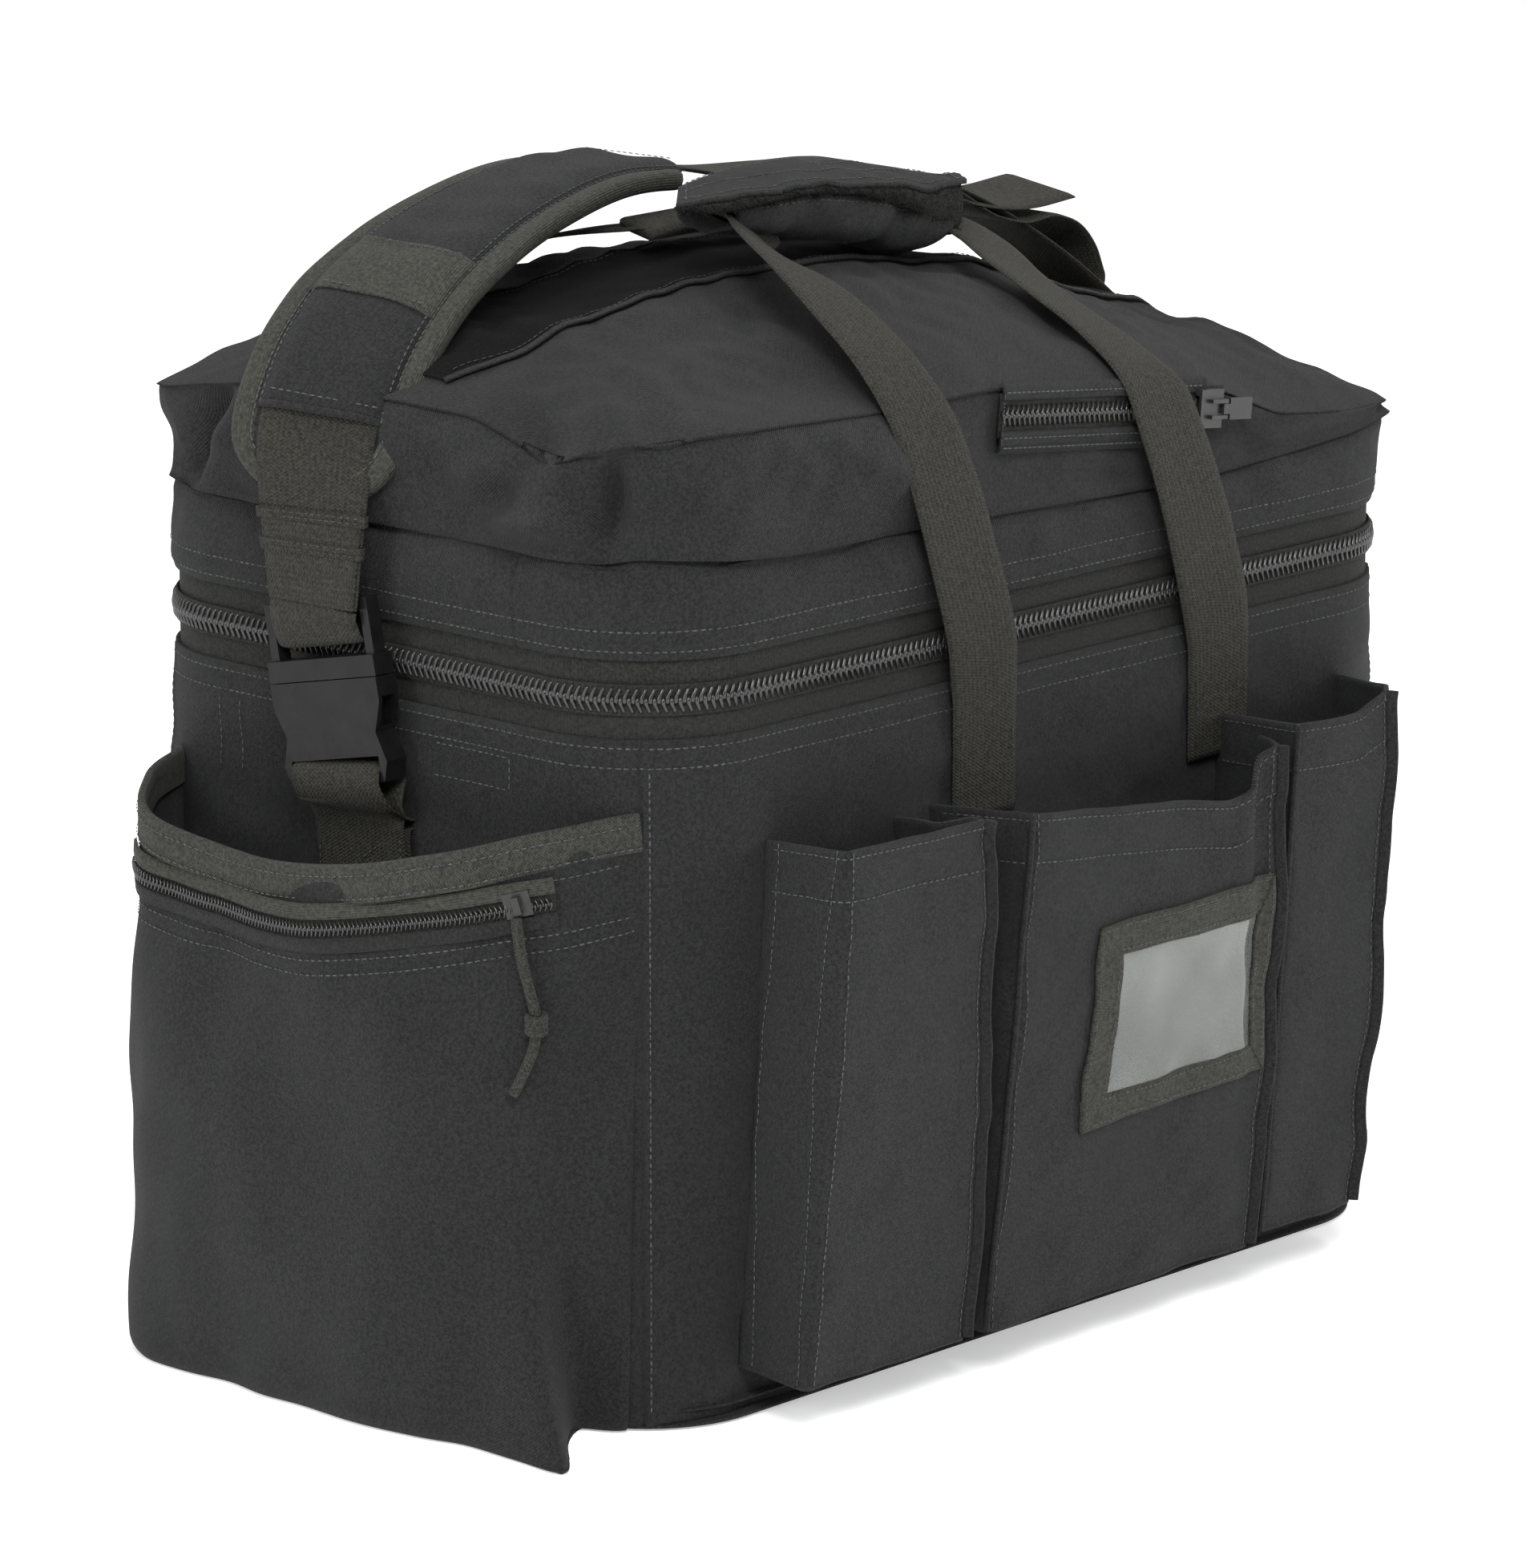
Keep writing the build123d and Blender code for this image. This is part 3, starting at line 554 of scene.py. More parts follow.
def disc(name, height, proud, material, sag=0.0, thick=0.0, flip=False, seed=5):
    """Level panel that fills the outline, in rings from the edge to the middle."""
    s = np.arange(0, PERIMETER, 6.0)[:, None]
    t = np.linspace(1, 0, 22)[None, :]
    x, y, _, _ = outline(s, proud)
    p = np.stack([x * t, y * t, height + 0 * x * t], -1)
    p[..., 2] += sag * (1 - t**3) + 0.5 * wobble(p[..., :2], 60, seed) * (1 - t**6)
    obj = grid_object(name, p, material, wrap_u=True, flip=flip, thick=thick)
    mesh = bmesh.new()
    mesh.from_mesh(obj.data)
    bmesh.ops.remove_doubles(mesh, verts=mesh.verts, dist=1e-6)
    mesh.to_mesh(obj.data)
    mesh.free()
    layer = obj.data.uv_layers[0].data
    for loop in obj.data.loops:
        co = obj.data.vertices[loop.vertex_index].co
        layer[loop.index].uv = (co.x, co.y)
    return obj


finish_piece(disc("body_base", 2.4, -4.0, FABRIC, sag=0.6, thick=1.2), "bag", "fabric_body",
             "bottom_panel")
finish_piece(disc("body_floor_lining", 8.2, -5.0, LINING, sag=0.5, thick=0.8), "bag",
             "fabric_body", "base_board")


def wall_line(surface, s, z):
    """Line on a wall at distances s and heights z, with its outward normals."""
    s, z = np.broadcast_arrays(np.asarray(s, float), np.asarray(z, float))
    _, _, nx, ny = outline(s)
    return surface(s, z), np.stack([nx, ny, 0 * nx], -1)


def wall_row(surface, s0, s1, z):
    return wall_line(surface, np.arange(s0, s1, 2.0), z)


def wall_column(surface, s, z0, z1):
    return wall_line(surface, s, np.arange(z0, z1, 2.0))


ZIP_FROM, ZIP_TO = BREAKS[1], BREAKS[8]
rows = [wall_row(shell, ZIP_FROM, ZIP_TO, z) for z in (280.5, 272.5)]
rows += [wall_row(shell, 0, ZIP_FROM, 279.5), wall_row(shell, ZIP_TO, PERIMETER, 279.5)]
rows += [wall_column(shell, seam + 3.6, 8, 272) for seam in SEAMS]
rows += [wall_row(shell, 400, 441, 257), wall_row(shell, 400, 441, 270),
         wall_column(shell, 441, 257, 270)]
rows += [wall_column(shell, 287, 240, 272), wall_column(shell, 275, 240, 272)]
stitches("body_stitching", rows, THREAD, "bag", seed=2)

# ---------------------------------------------------------------- main zip
TOOTH_PITCH = 3.3


def tape(name, body, z0, z1, node):
    """One side's zip tape, let into the fabric's edge."""
    s = np.arange(ZIP_FROM - 6, ZIP_TO + 6.1, 3.0)
    z = np.linspace(z0, z1, 7)
    x, y, nx, ny = outline(s[:, None], -1.3 + 0 * z[None, :])
    p = np.stack([x, y, z[None, :] + 0 * x], -1)
    sheet(name, p, TAPE, body, "zip_tape", node, thick=1.0)


tape("zip_tape_lower_cloth", "bag", 280.0, 299.2, "zip_tape_lower")
tape("zip_tape_upper_cloth", "lid", 300.8, 320.0, "zip_tape_upper")


def teeth(name, at, place, material, side=1.0, size=1.0, rise=2.1, wide=0.72):
    """Coil teeth: each one is a bent round bar, with a slanting leg over the tape's edge and a
    thicker head across the chain's middle. place(s, across, out) gives points, and across is
    measured from the chain's middle."""
    bars = [(4.8, -0.1, 1.5, 0.8), (4.7, 0.6, 1.45, 0.95), (4.1, 0.92, 1.2, 1.0),
            (1.9, 1.0, 0.25, 1.05), (1.2, 1.04, 0.0, 1.3), (-0.2, 1.04, -0.05, 1.45),
            (-0.9, 0.8, 0.0, 1.2), (-1.0, 0.3, 0.0, 0.9)]
    across = np.array([b[0] for b in bars]) * side * size
    out = np.array([b[1] for b in bars]) * rise
    drift = np.array([b[2] for b in bars]) * size
    girth = wide * np.array([b[3] for b in bars])
    s = at[:, None] + drift[None, :]
    centre = place(s, across[None, :] + 0 * s, out[None, :] + 0 * s)
    ahead = norm(place(s + 1, across + 0 * s, out + 0 * s)
                 - place(s - 1, across + 0 * s, out + 0 * s))
    run = norm(np.gradient(centre, axis=1))
    ahead = norm(ahead - run * (ahead * run).sum(-1, keepdims=True))
    up = norm(np.cross(run, ahead))
    angles = np.linspace(0, 2 * np.pi, 8, endpoint=False)
    points = np.stack([centre + girth[None, :, None] * (np.cos(a) * ahead + np.sin(a) * up)
                       for a in angles], 2)
    n, m = points.shape[:2]
    faces = []
    for k in range(n):
        first = k * m * 8
        for i in range(m - 1):
            for j in range(8):
                a, b = first + i * 8 + j, first + i * 8 + (j + 1) % 8
                faces.append([a, b, b + 8, a + 8])
        faces.append([first + j for j in reversed(range(8))])
        faces.append([first + (m - 1) * 8 + j for j in range(8)])
    return mesh_object(name, points.reshape(-1, 3), faces, None, material)


def main_chain(s, across, out):
    """Point on the main zip."""
    x, y, _, _ = outline(s, -1.1 + out)
    return np.stack([x, y, ZIP_Z + across], -1)


at = np.arange(ZIP_FROM, ZIP_TO, TOOTH_PITCH)
finish_piece(teeth("zip_teeth_lower", at, main_chain, COIL, -1.0), "bag", "zip_coil",
             "zip_coil_lower")
finish_piece(teeth("zip_teeth_upper", at + TOOTH_PITCH / 2, main_chain, COIL, 1.0), "lid",
             "zip_coil", "zip_coil_upper")
for name, body, z in (("zip_core_lower", "bag", 296.4), ("zip_core_upper", "lid", 303.6)):
    s = np.arange(ZIP_FROM, ZIP_TO, 4.0)
    x, y, nx, ny = outline(s, -0.2)
    core, _, _, _ = ribbon_object(name, np.stack([x, y, 0 * x + z], -1), (0, 0, 1), 5.4, 1.2,
                                  TAPE, count=len(s))
    finish_piece(core, body, "zip_tape")

# Fabric hinge along the rear, from the wall's top to the lid's band.
s = np.concatenate([np.arange(ZIP_TO - 4, PERIMETER, 4.0), np.arange(PERIMETER, PERIMETER
                    + ZIP_FROM + 4.1, 4.0)])
z = np.linspace(281.5, 320, 23)
x, y, nx, ny = outline(s[:, None], -0.6 + 0 * z[None, :])
p = np.stack([x, y + 0.6 * wobble(np.stack([x, 0 * x + z], -1), 30, 7), z[None, :] + 0 * x], -1)
hinge_cloth = grid_object("hinge_fabric", p, FABRIC, thick=1.2)
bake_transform(hinge_cloth)
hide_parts("hinge_strip_lower", "hinge_strip_upper")

# ---------------------------------------------------------------- lid
BAND_Z = [(0, 352), (226, 352), (311, 352), (366, 354), (421, 354), (460, 354), (489, 352.5),
          (500, 356), (525, 355), (576, 350), (634, 350), (692, 348), (791, 345), (830, 345),
          (875, 348), (930, 352), (958, 354), (1000, 352), (1100, 351), (1238, 352), (1350, 351)]
BAND_N = [(0, -3), (180, -3), (226, 1), (262, -4), (366, -3), (460, -2.5), (489, -6), (515, -3),
          (700, -3), (930, -1), (944, 2), (958, 8), (972, 3), (1000, -1), (1100, -1), (1210, 0),
          (1238, 5), (1262, 0), (1350, -2)]
SEAM_Z = [(0, 399), (181, 398), (226, 390), (272, 398), (311, 404), (366, 405), (421, 404),
          (443, 397), (465, 393), (489, 395), (505, 401), (532, 403), (576, 402), (634, 399),
          (697, 399), (778, 391), (823, 382), (840, 379), (876, 364), (930, 358), (958, 358),
          (1004, 357), (1100, 358), (1192, 359), (1238, 358), (1290, 366), (1350, 384),
          (1420, 396)]
SEAM_N = [(0, -4), (200, -3), (215, 2), (226, 10), (238, 1), (262, -4), (366, -3), (460, -4),
          (489, -6), (510, -3), (700, -4), (876, -3), (930, -2), (946, 3), (958, 8), (972, 3),
          (1000, 0), (1192, 0), (1225, 3), (1238, 7), (1255, 1), (1350, -4)]
BULGE = [(0, 6), (200, 3), (226, -3), (250, -9), (290, 3), (366, 6), (440, 5), (465, 9),
         (489, -8), (515, 8), (600, 9), (680, 4), (694, -1.5), (842, -1.5), (856, 1), (900, 0),
         (958, -2), (1100, 0), (1238, -1), (1300, 2), (1400, 5)]
CROWN = [(-240, 399), (-236, 400), (-226, 409), (-190, 420), (-150, 427), (-120, 431), (-50, 438),
         (20, 434), (80, 421), (130, 406), (180, 391), (222, 371), (236, 362), (240, 360)]
BAND_LOW = 316.0


def closed_table(knots, s, soften=7.0):
    return table(s, knots, soften)


def lid_band(s, u):
    """Band of the lid from its hem (u 0) to the crease under the gusset (u 1)."""
    s, u = np.broadcast_arrays(np.asarray(s, float), np.asarray(u, float))
    top, last = closed_table(BAND_Z, s), closed_table(BAND_N, s)
    z = BAND_LOW + (top - BAND_LOW) * u
    tuck = u**5
    proud = 0.6 + 1.6 * np.sin(np.pi * np.clip(u, 0, 1)) + 0.9 * bump(z, 321.5, 3.2) + last * tuck
    proud = proud - 3.0 * step(u, 0.88, 1.0)
    x, y, nx, ny = outline(s)
    p = np.stack([x, y, z], -1)
    proud = proud + step(u, 0.1, 0.5) * (0.9 * wobble(p, 80, 11) + 0.35 * wobble(p, 30, 12))
    proud = proud - 0.9 * bump(s, 446, 1.1) + 0.6 * bump(s, 449, 2.2)
    proud = (proud + crease(s, z, (470, 352), (508, 338), 7, 1.6)
             - crease(s, z, (486, 353), (520, 343), 4, 2.0))
    return np.stack([x + nx * proud, y + ny * proud, z], -1)


GUSSET_FOLDS = [
    ((438, 363), (466, 367), 5, 4.0), ((466, 367), (494, 361), 5, 3.5),
    ((448, 383), (412, 357), 8, -3.5), ((508, 377), (532, 375), 11, -3.0),
    ((491, 394), (490, 364), 6, -5.0), ((272, 392), (240, 354), 9, -9.0),
    ((292, 398), (262, 360), 9, 4.0), ((330, 400), (318, 362), 12, 2.5),
    ((360, 398), (352, 362), 10, -2.0), ((600, 395), (640, 362), 14, 2.5),
    ((650, 392), (672, 358), 10, -2.5), ((545, 398), (575, 360), 14, -2.0),
    ((742, 362), (800, 353), 5, 3.2), ((745, 357), (796, 349), 3.5, -3.0),
    ((860, 352), (940, 354), 5, 2.0), ((1300, 362), (1330, 380), 9, 3.0),
    ((1245, 356), (1290, 362), 7, -3.0), ((120, 392), (60, 360), 12, 3.0),
    ((1400, 390), (1440, 362), 12, -3.0),
    ((180, 392), (200, 358), 9, -4.0), ((1080, 356), (1180, 355), 6, 1.5),
]


def lid_gusset(s, u):
    """Gusset of the lid pocket from the crease (u 0) to the top seam (u 1)."""
    s, u = np.broadcast_arrays(np.asarray(s, float), np.asarray(u, float))
    low, high = closed_table(BAND_Z, s), closed_table(SEAM_Z, s)
    z = low + (high - low) * u
    room = step(high - low, 4, 30)
    proud = closed_table(BAND_N, s) * (1 - u) + closed_table(SEAM_N, s) * u
    proud = proud + closed_table(BULGE, s) * np.sin(np.pi * u**0.8)
    proud = proud + 3.4 * np.exp(-u / 0.07) - 2.0 * np.exp(-(1 - u) / 0.045)
    z = z - 2.6 * np.exp(-u / 0.06)
    flat = 1 - step(s, 676, 690) * (1 - step(s, 842, 856))
    for start, end, width, height in GUSSET_FOLDS:
        near = 2.1 * crease(s, z, start, end, width, height)
        proud = proud + near * np.sin(np.pi * np.clip(u, 0, 1)) ** 0.5 * (0.25 + 0.75 * flat)
    x, y, nx, ny = outline(s)
    p = np.stack([x, y, z], -1)
    proud = proud + room * (0.25 + 0.75 * flat) * np.sin(np.pi * u) ** 0.6 * (
        1.3 * wobble(p, 62, 13) + 0.8 * wobble(p, 24, 14))
    return np.stack([x + nx * proud, y + ny * proud, z], -1)


def lid_dome(s, t):
    """Top of the lid from the top seam (t 0) to its ridge (t 1)."""
    s, t = np.broadcast_arrays(np.asarray(s, float), np.asarray(t, float))
    x, y, nx, ny = outline(s)
    proud = closed_table(SEAM_N, s)
    ex, ey, ez = x + nx * proud, y + ny * proud, closed_table(SEAM_Z, s)
    lip = 1.5 * np.exp(-t / 0.018)
    rx = np.clip(ex, -150, 165)
    cx, cz = np.array(CROWN, float).T
    rz = np.interp(rx, cx, cz)
    px, py = ex + (rx - ex) * t + nx * lip, ey + (0 - ey) * t + ny * lip
    side = np.clip(np.abs(nx), 0, 1) ** 2
    power = 2.3 - 0.5 * side
    arch = 1 - (1 - t) ** power
    sharp = bump(s, 226, 22) + 0.7 * bump(s, 958, 22) + 0.7 * bump(s, 1238, 22)
    arch = arch - 0.35 * sharp * np.sin(np.pi * t) * (1 - t)
    pz = ez + (rz - ez) * arch
    p = np.stack([px, py, pz], -1)
    slack = np.sin(np.pi * np.clip(t, 0, 1)) ** 0.7
    pz = pz + slack * (1.5 * wobble(p[..., :2], 85, 15) + 0.7 * wobble(p[..., :2], 30, 16))
    pz = (pz + 6.0 * bump(s, 487, 20) * bump(t, 0.14, 0.13)
          - 5.0 * bump(s, 460, 12) * bump(t, 0.08, 0.12))
    pz = pz - 3.5 * bump(s, 512, 10) * bump(t, 0.06, 0.09)
    pz = pz - 1.8 * np.exp(-t / 0.012)
    return np.stack([px, py, pz], -1)


lid_rounds = around(3.0, (489.0, 226.0, 958.0, 446.0))
band_rows = lid_band(lid_rounds[:, None], np.linspace(0, 1, 14)[None, :])
gusset_rows = lid_gusset(lid_rounds[:, None], np.linspace(0.03, 1, 22)[None, :])
dome_at = np.concatenate([[0.006, 0.015, 0.028], np.linspace(0.05, 1, 34)])
dome_rows = lid_dome(lid_rounds[:, None], dome_at[None, :])
lid_skin = grid_object("lid_fabric", np.concatenate([band_rows, gusset_rows, dome_rows], 1),
                       FABRIC, wrap_u=True)
finish_piece(lid_skin, "lid", "fabric_body", "lid_band", "lid_gusset", "lid_top_panel")
finish_piece(disc("lid_underside", 351.0, -3.0, LINING, sag=-3.0, flip=True, seed=9), "lid",
             "fabric_body", "lid_floor_panel")
s = np.arange(0, PERIMETER, 4.0)[:, None]
z = np.linspace(0, 1, 9)[None, :]
x, y, _, _ = outline(s, -0.8 - 2.4 * z)
sheet("lid_hem_inside", np.stack([x, y, 316.2 + 35 * z + 0 * x], -1), LINING, "lid",
      "fabric_body", wrap_u=True, flip=True)


def band_line(z):
    """Level line on the lid's band as s, u."""
    def surface(s, height):
        top = closed_table(BAND_Z, s)
        return lid_band(s, (z - BAND_LOW) / (top - BAND_LOW))
    return surface


rows = [wall_row(band_line(z), ZIP_FROM, ZIP_TO, z) for z in (319.5, 327.5)]
s = np.arange(470, 640, 2.0)
stitches("lid_band_stitching", rows, THREAD, "lid", seed=3)

# Height of the lid's top at any place, from the finished mesh.
from mathutils.bvhtree import BVHTree

lid_tree = BVHTree.FromPolygons([v.co.copy() for v in lid_skin.data.vertices],
                                [tuple(f.vertices) for f in lid_skin.data.polygons])


def lid_top(x, y):
    """Height and normal of the lid's top above x, y."""
    hit, normal, _, _ = lid_tree.ray_cast(Vector((x * MM, y * MM, 0.6)), Vector((0, 0, -1)))
    return hit.z / MM, np.array(normal) * np.sign(normal.z)


def on_lid(x, y, lift):
    """Grid of points lifted off the lid's top."""
    flat = []
    for a, b in zip(np.ravel(x), np.ravel(y)):
        height, normal = lid_top(a, b)
        flat.append(np.array([a, b, height]) + normal * lift)
    return np.array(flat).reshape(*x.shape, 3)


# Loop panel along the crown: a raised pile strip with a turned, stitched edge.
xs = np.linspace(-222, 218, 150)
edge_front = np.interp(xs, [-222, -190, 180, 218], [-24, -35, -35, -26])
ys = np.concatenate([[-1.02, -1.0, -0.97], np.linspace(-0.93, 0.93, 22), [0.97, 1.0, 1.02]])
gx = np.repeat(xs[:, None], len(ys), 1)
gy = -edge_front[:, None] * ys[None, :]
panel = on_lid(gx, gy, 0.0)
lift = np.interp(np.abs(ys), [0, 0.93, 0.97, 1.0, 1.02], [1.6, 1.8, 2.4, 2.0, 0.1])
panel[..., 2] += lift[None, :]
sheet("loop_panel", panel, PILE, "lid", "loop_panel", "lid_loop_panel")
for name, sign in (("front", -1), ("rear", 1)):
    line = on_lid(xs[::2], sign * -edge_front[::2] * 1.0, 1.9)
    trim, _, _, up = ribbon_object(f"loop_panel_edge_{name}", line, (0, sign, -0.35), 2.6, 1.4,
                                   FABRIC, count=len(line))
    finish_piece(trim, "lid", "binding")
rows = []
for sign in (-1, 1):
    line = on_lid(xs[2:-2:2], sign * (-edge_front[2:-2:2] - 4.5), 2.1)
    rows.append((line, np.tile([0, 0, 1.0], (len(line), 1))))
stitches("loop_panel_stitching", rows, DARK_THREAD, "lid", seed=4)


# ---------------------------------------------------------------- rails for zips and trims
class Rail:
    """Smooth line with an outward direction; place(run, across, out) gives points beside it."""

    def __init__(self, points, out, smooth=True, count=160):
        p = np.asarray(points, float)
        self.line = spline(p, count) if smooth else p
        self.run = run_along(self.line)
        self.length = self.run[-1]
        tangent = norm(np.gradient(self.line, axis=0))
        if out is None:
            self.out = norm(np.cross([0, 0, 1.0], tangent))
        else:
            self.out = np.broadcast_to(np.asarray(out, float), tangent.shape)
        self.out = norm(self.out - tangent * (self.out * tangent).sum(1, keepdims=True))
        self.up = norm(np.cross(self.out, tangent))
        self.up *= np.sign(self.up[:, 2:3] + 1e-6)

    def at(self, columns, run):
        return lookup(run, self.run, columns)

    def place(self, run, across, out):
        run, across, out = np.broadcast_arrays(run, across, out)
        return (self.at(self.line, run) + self.at(self.up, run) * across[..., None]
                + self.at(self.out, run) * out[..., None])

    def grid(self, name, runs, profile, material, thick=0.0, flip=False):
        """Band whose cross-section is a list of (across, out)."""
        runs = np.asarray(runs, float)
        across, out = np.array(profile, float).T
        p = self.place(runs[:, None], across[None, :], out[None, :])
        return grid_object(name, p, material, thick=thick, flip=flip)

    def crossing(self, run, half_width, out):
        """Line across the rail with its outward normals."""
        v = np.arange(-half_width, half_width, 2.0)
        return self.place(run, v, out), self.at(self.out, run + 0 * v)

    def row(self, across, out, start=0.0, end=None):
        run = np.arange(start, self.length if end is None else end, 2.0)
        return self.place(run, across + 0 * run, out + 0 * run), self.at(self.out, run)


def chain(name, rail, start, end, body, slot_name, node, size, rise, wide, pitch):
    """Both sides of a closed coil zip on one body."""
    at = np.arange(start, end, pitch)
    for side, shift, nodes in ((-1.0, 0.0, [node]), (1.0, pitch / 2, [])):
        half = teeth(f"{name}_{'low' if side < 0 else 'high'}", at + shift, rail.place, COIL, side,
                     size, rise, wide)
        finish_piece(half, body, slot_name, *nodes)


# ---------------------------------------------------------------- lid zip
LID_ZIP_START, LID_ZIP_LENGTH, LID_ZIP_LEAN = (-34, -149.0, 388), 140, np.radians(6.5)
x0, y0, z0 = LID_ZIP_START
lid_zip = Rail([(x0 + u * np.cos(LID_ZIP_LEAN), y0, z0 - u * np.sin(LID_ZIP_LEAN))
                for u in np.linspace(0, LID_ZIP_LENGTH, 30)], (0, -1, 0))
runs = np.linspace(-1, LID_ZIP_LENGTH + 1, 72)
finish_piece(lid_zip.grid("lid_zip_tape_cloth", runs, [(v, 1.0) for v in np.linspace(-9, 9, 9)],
                          TAPE, thick=0.8), "lid", "zip_tape", "lid_zip_tape")
chain("lid_zip_teeth", lid_zip, 0.5, 122, "lid", "zip_coil", "lid_zip_coil", 0.85, 2.6, 0.55, 3.1)
for name, low, high in (("upper", 6.4, 12.0), ("lower", -6.4, -15.0)):
    mid, sign = (low + high) / 2, np.sign(low)
    bands = [(low, 0.6), (low, 2.0), (low + 0.6 * sign, 2.7), (mid, 2.3), (high, 1.2),
             (high + sign, -0.8)]
    runs = np.linspace(-8, 128, 90)
    across, out = np.array(bands, float).T
    drift = 0.5 * np.sin(runs / 11.0) + 0.4 * np.sin(runs / 5.3 + 1)
    p = lid_zip.place(runs[:, None], across[None, :] + 0 * runs[:, None],
                      out[None, :] + drift[:, None] * np.array([0, 0.3, 0.5, 0.8, 0.3, 0])[None, :])
    sheet(f"lid_zip_welt_{name}", p, FABRIC, "lid", "fabric_body", flip=sign < 0)
patch = lid_zip.grid("lid_zip_end_patch", np.linspace(-15, 0.5, 8),
                     [(v, 2.6 - 1.6 * (abs(v) > 13.5)) for v in np.linspace(-14.5, 14.5, 15)],
                     FABRIC, thick=1.2)
finish_piece(patch, "lid", "fabric_body")
rows = [lid_zip.row(v, 2.9, 1, 124) for v in (-9.0, -13.0)]
rows += [lid_zip.row(9.5, 2.6, 1, 124)] + [lid_zip.row(v, 2.9, -14, 0) for v in (-12.5, 12.5)]
rows += [lid_zip.crossing(run, 12, 2.9) for run in (-13, -2.0)]
stitches("lid_zip_stitching", rows, THREAD, "lid", seed=6, pitch=3.0)

# ---------------------------------------------------------------- open pockets
def stations(points, step_mm):
    """Points along a polyline of any width, about step_mm apart, corners kept."""
    out = []
    for a, b in zip(points, points[1:]):
        a, b = np.array(a, float), np.array(b, float)
        n = max(2, int(np.linalg.norm((b - a)[:2]) / step_mm))
        out += [a + (b - a) * k / n for k in range(n)]
    out.append(np.array(points[-1], float))
    return np.array(out)


def soften(line, passes, fixed=1):
    """Round a line's corners a little, keeping its ends."""
    line = line.copy()
    for _ in range(passes):
        before, after = line[fixed - 1:-fixed - 1], line[fixed + 1:len(line) - fixed + 1]
        line[fixed:-fixed] = 0.5 * line[fixed:-fixed] + 0.25 * (before + after)
    return line


def pocket_surface(top, low, z0, swell, seed, passes=1, step_mm=3.0):
    """Wall of an open pocket between a low line (x, y) and a rim line (x, y, z)."""
    pairs = [(*t, *b) for t, b in zip(top, low)]
    line = soften(stations(pairs, step_mm), passes)
    high, foot = line[:, :3], line[:, 3:5]
    f = np.concatenate([np.linspace(0, 0.9, 46), np.linspace(0.915, 1, 9)])
    xy = foot[:, None, :] * (1 - f)[None, :, None] + high[:, None, :2] * f[None, :, None]
    z = z0 + (high[:, None, 2] - z0) * f[None, :]
    grid = np.concatenate([xy, z[..., None]], -1)
    along = norm(np.gradient(grid, axis=0))
    out = np.cross(along, [0, 0, 1.0])
    q = run_along(high[:, :2])
    free = step(q, 0, 12) * step(q[-1] - q, 0, 12)
    amount = (swell * np.sin(np.pi * f)[None, :] + 0.8 * wobble(grid, 60, seed)
              + 0.35 * wobble(grid, 24, seed + 50)) * free[:, None]
    hem = 0.5 * step(grid[..., 2] - (high[:, None, 2] - 21), 0, 1.2)
    grid = grid + out * (amount + hem)[..., None]
    return grid, out


def pocket(key, top, low, z0, swell, seed):
    """Bellows pocket: walls and base, and the lines for its hem stitching."""
    grid, out = pocket_surface(top, low, z0, swell, seed)
    sheet(f"pocket_{key}_cloth", grid, FABRIC, "bag", "fabric_body", f"pocket_{key}_face",
          f"pocket_{key}_gusset", thick=2.0)
    bottom = grid[:, 0]
    n = len(bottom)
    back = np.stack([np.interp(np.arange(n), [0, n - 1], [bottom[0, k], bottom[-1, k]])
                     for k in range(3)], 1)
    t = np.linspace(0, 1, 10)[None, :, None]
    sheet(f"pocket_{key}_base", bottom[:, None] * (1 - t) + back[:, None] * t, FABRIC, "bag",
          "fabric_body", thick=1.5)
    rows = []
    for drop in (3.0, 20.0):
        line, ways = [], []
        for column, ways_column in zip(grid, out):
            z = column[-1, 2] - drop
            line.append([np.interp(z, column[:, 2], column[:, k]) for k in range(2)] + [z])
            ways.append(ways_column[-1])
        rows.append((np.array(line)[2:-2] + np.array(ways)[2:-2] * 0.15, np.array(ways)[2:-2]))
    return grid, out, rows


def edge_trim(name, grid, index, width, spread):
    """Thin sewn flange along a pocket's upright edge."""
    line = grid[index][::2] + np.array(spread) * (width / 2 - 0.6)
    trim, _, _, _ = ribbon_object(name, line, spread, width, 2.2, FABRIC, count=60)
    finish_piece(trim, "bag", "fabric_body")


def corner_index(grid, x, y):
    """Index of the column whose rim is nearest to x, y."""
    return int(np.argmin(np.hypot(grid[:, -1, 0] - x, grid[:, -1, 1] - y)))


LEFT_FLANGE, RIGHT_FLANGE = (4.0, (-0.6, -0.8, 0.0)), (5.0, (0.7, -0.7, 0.0))
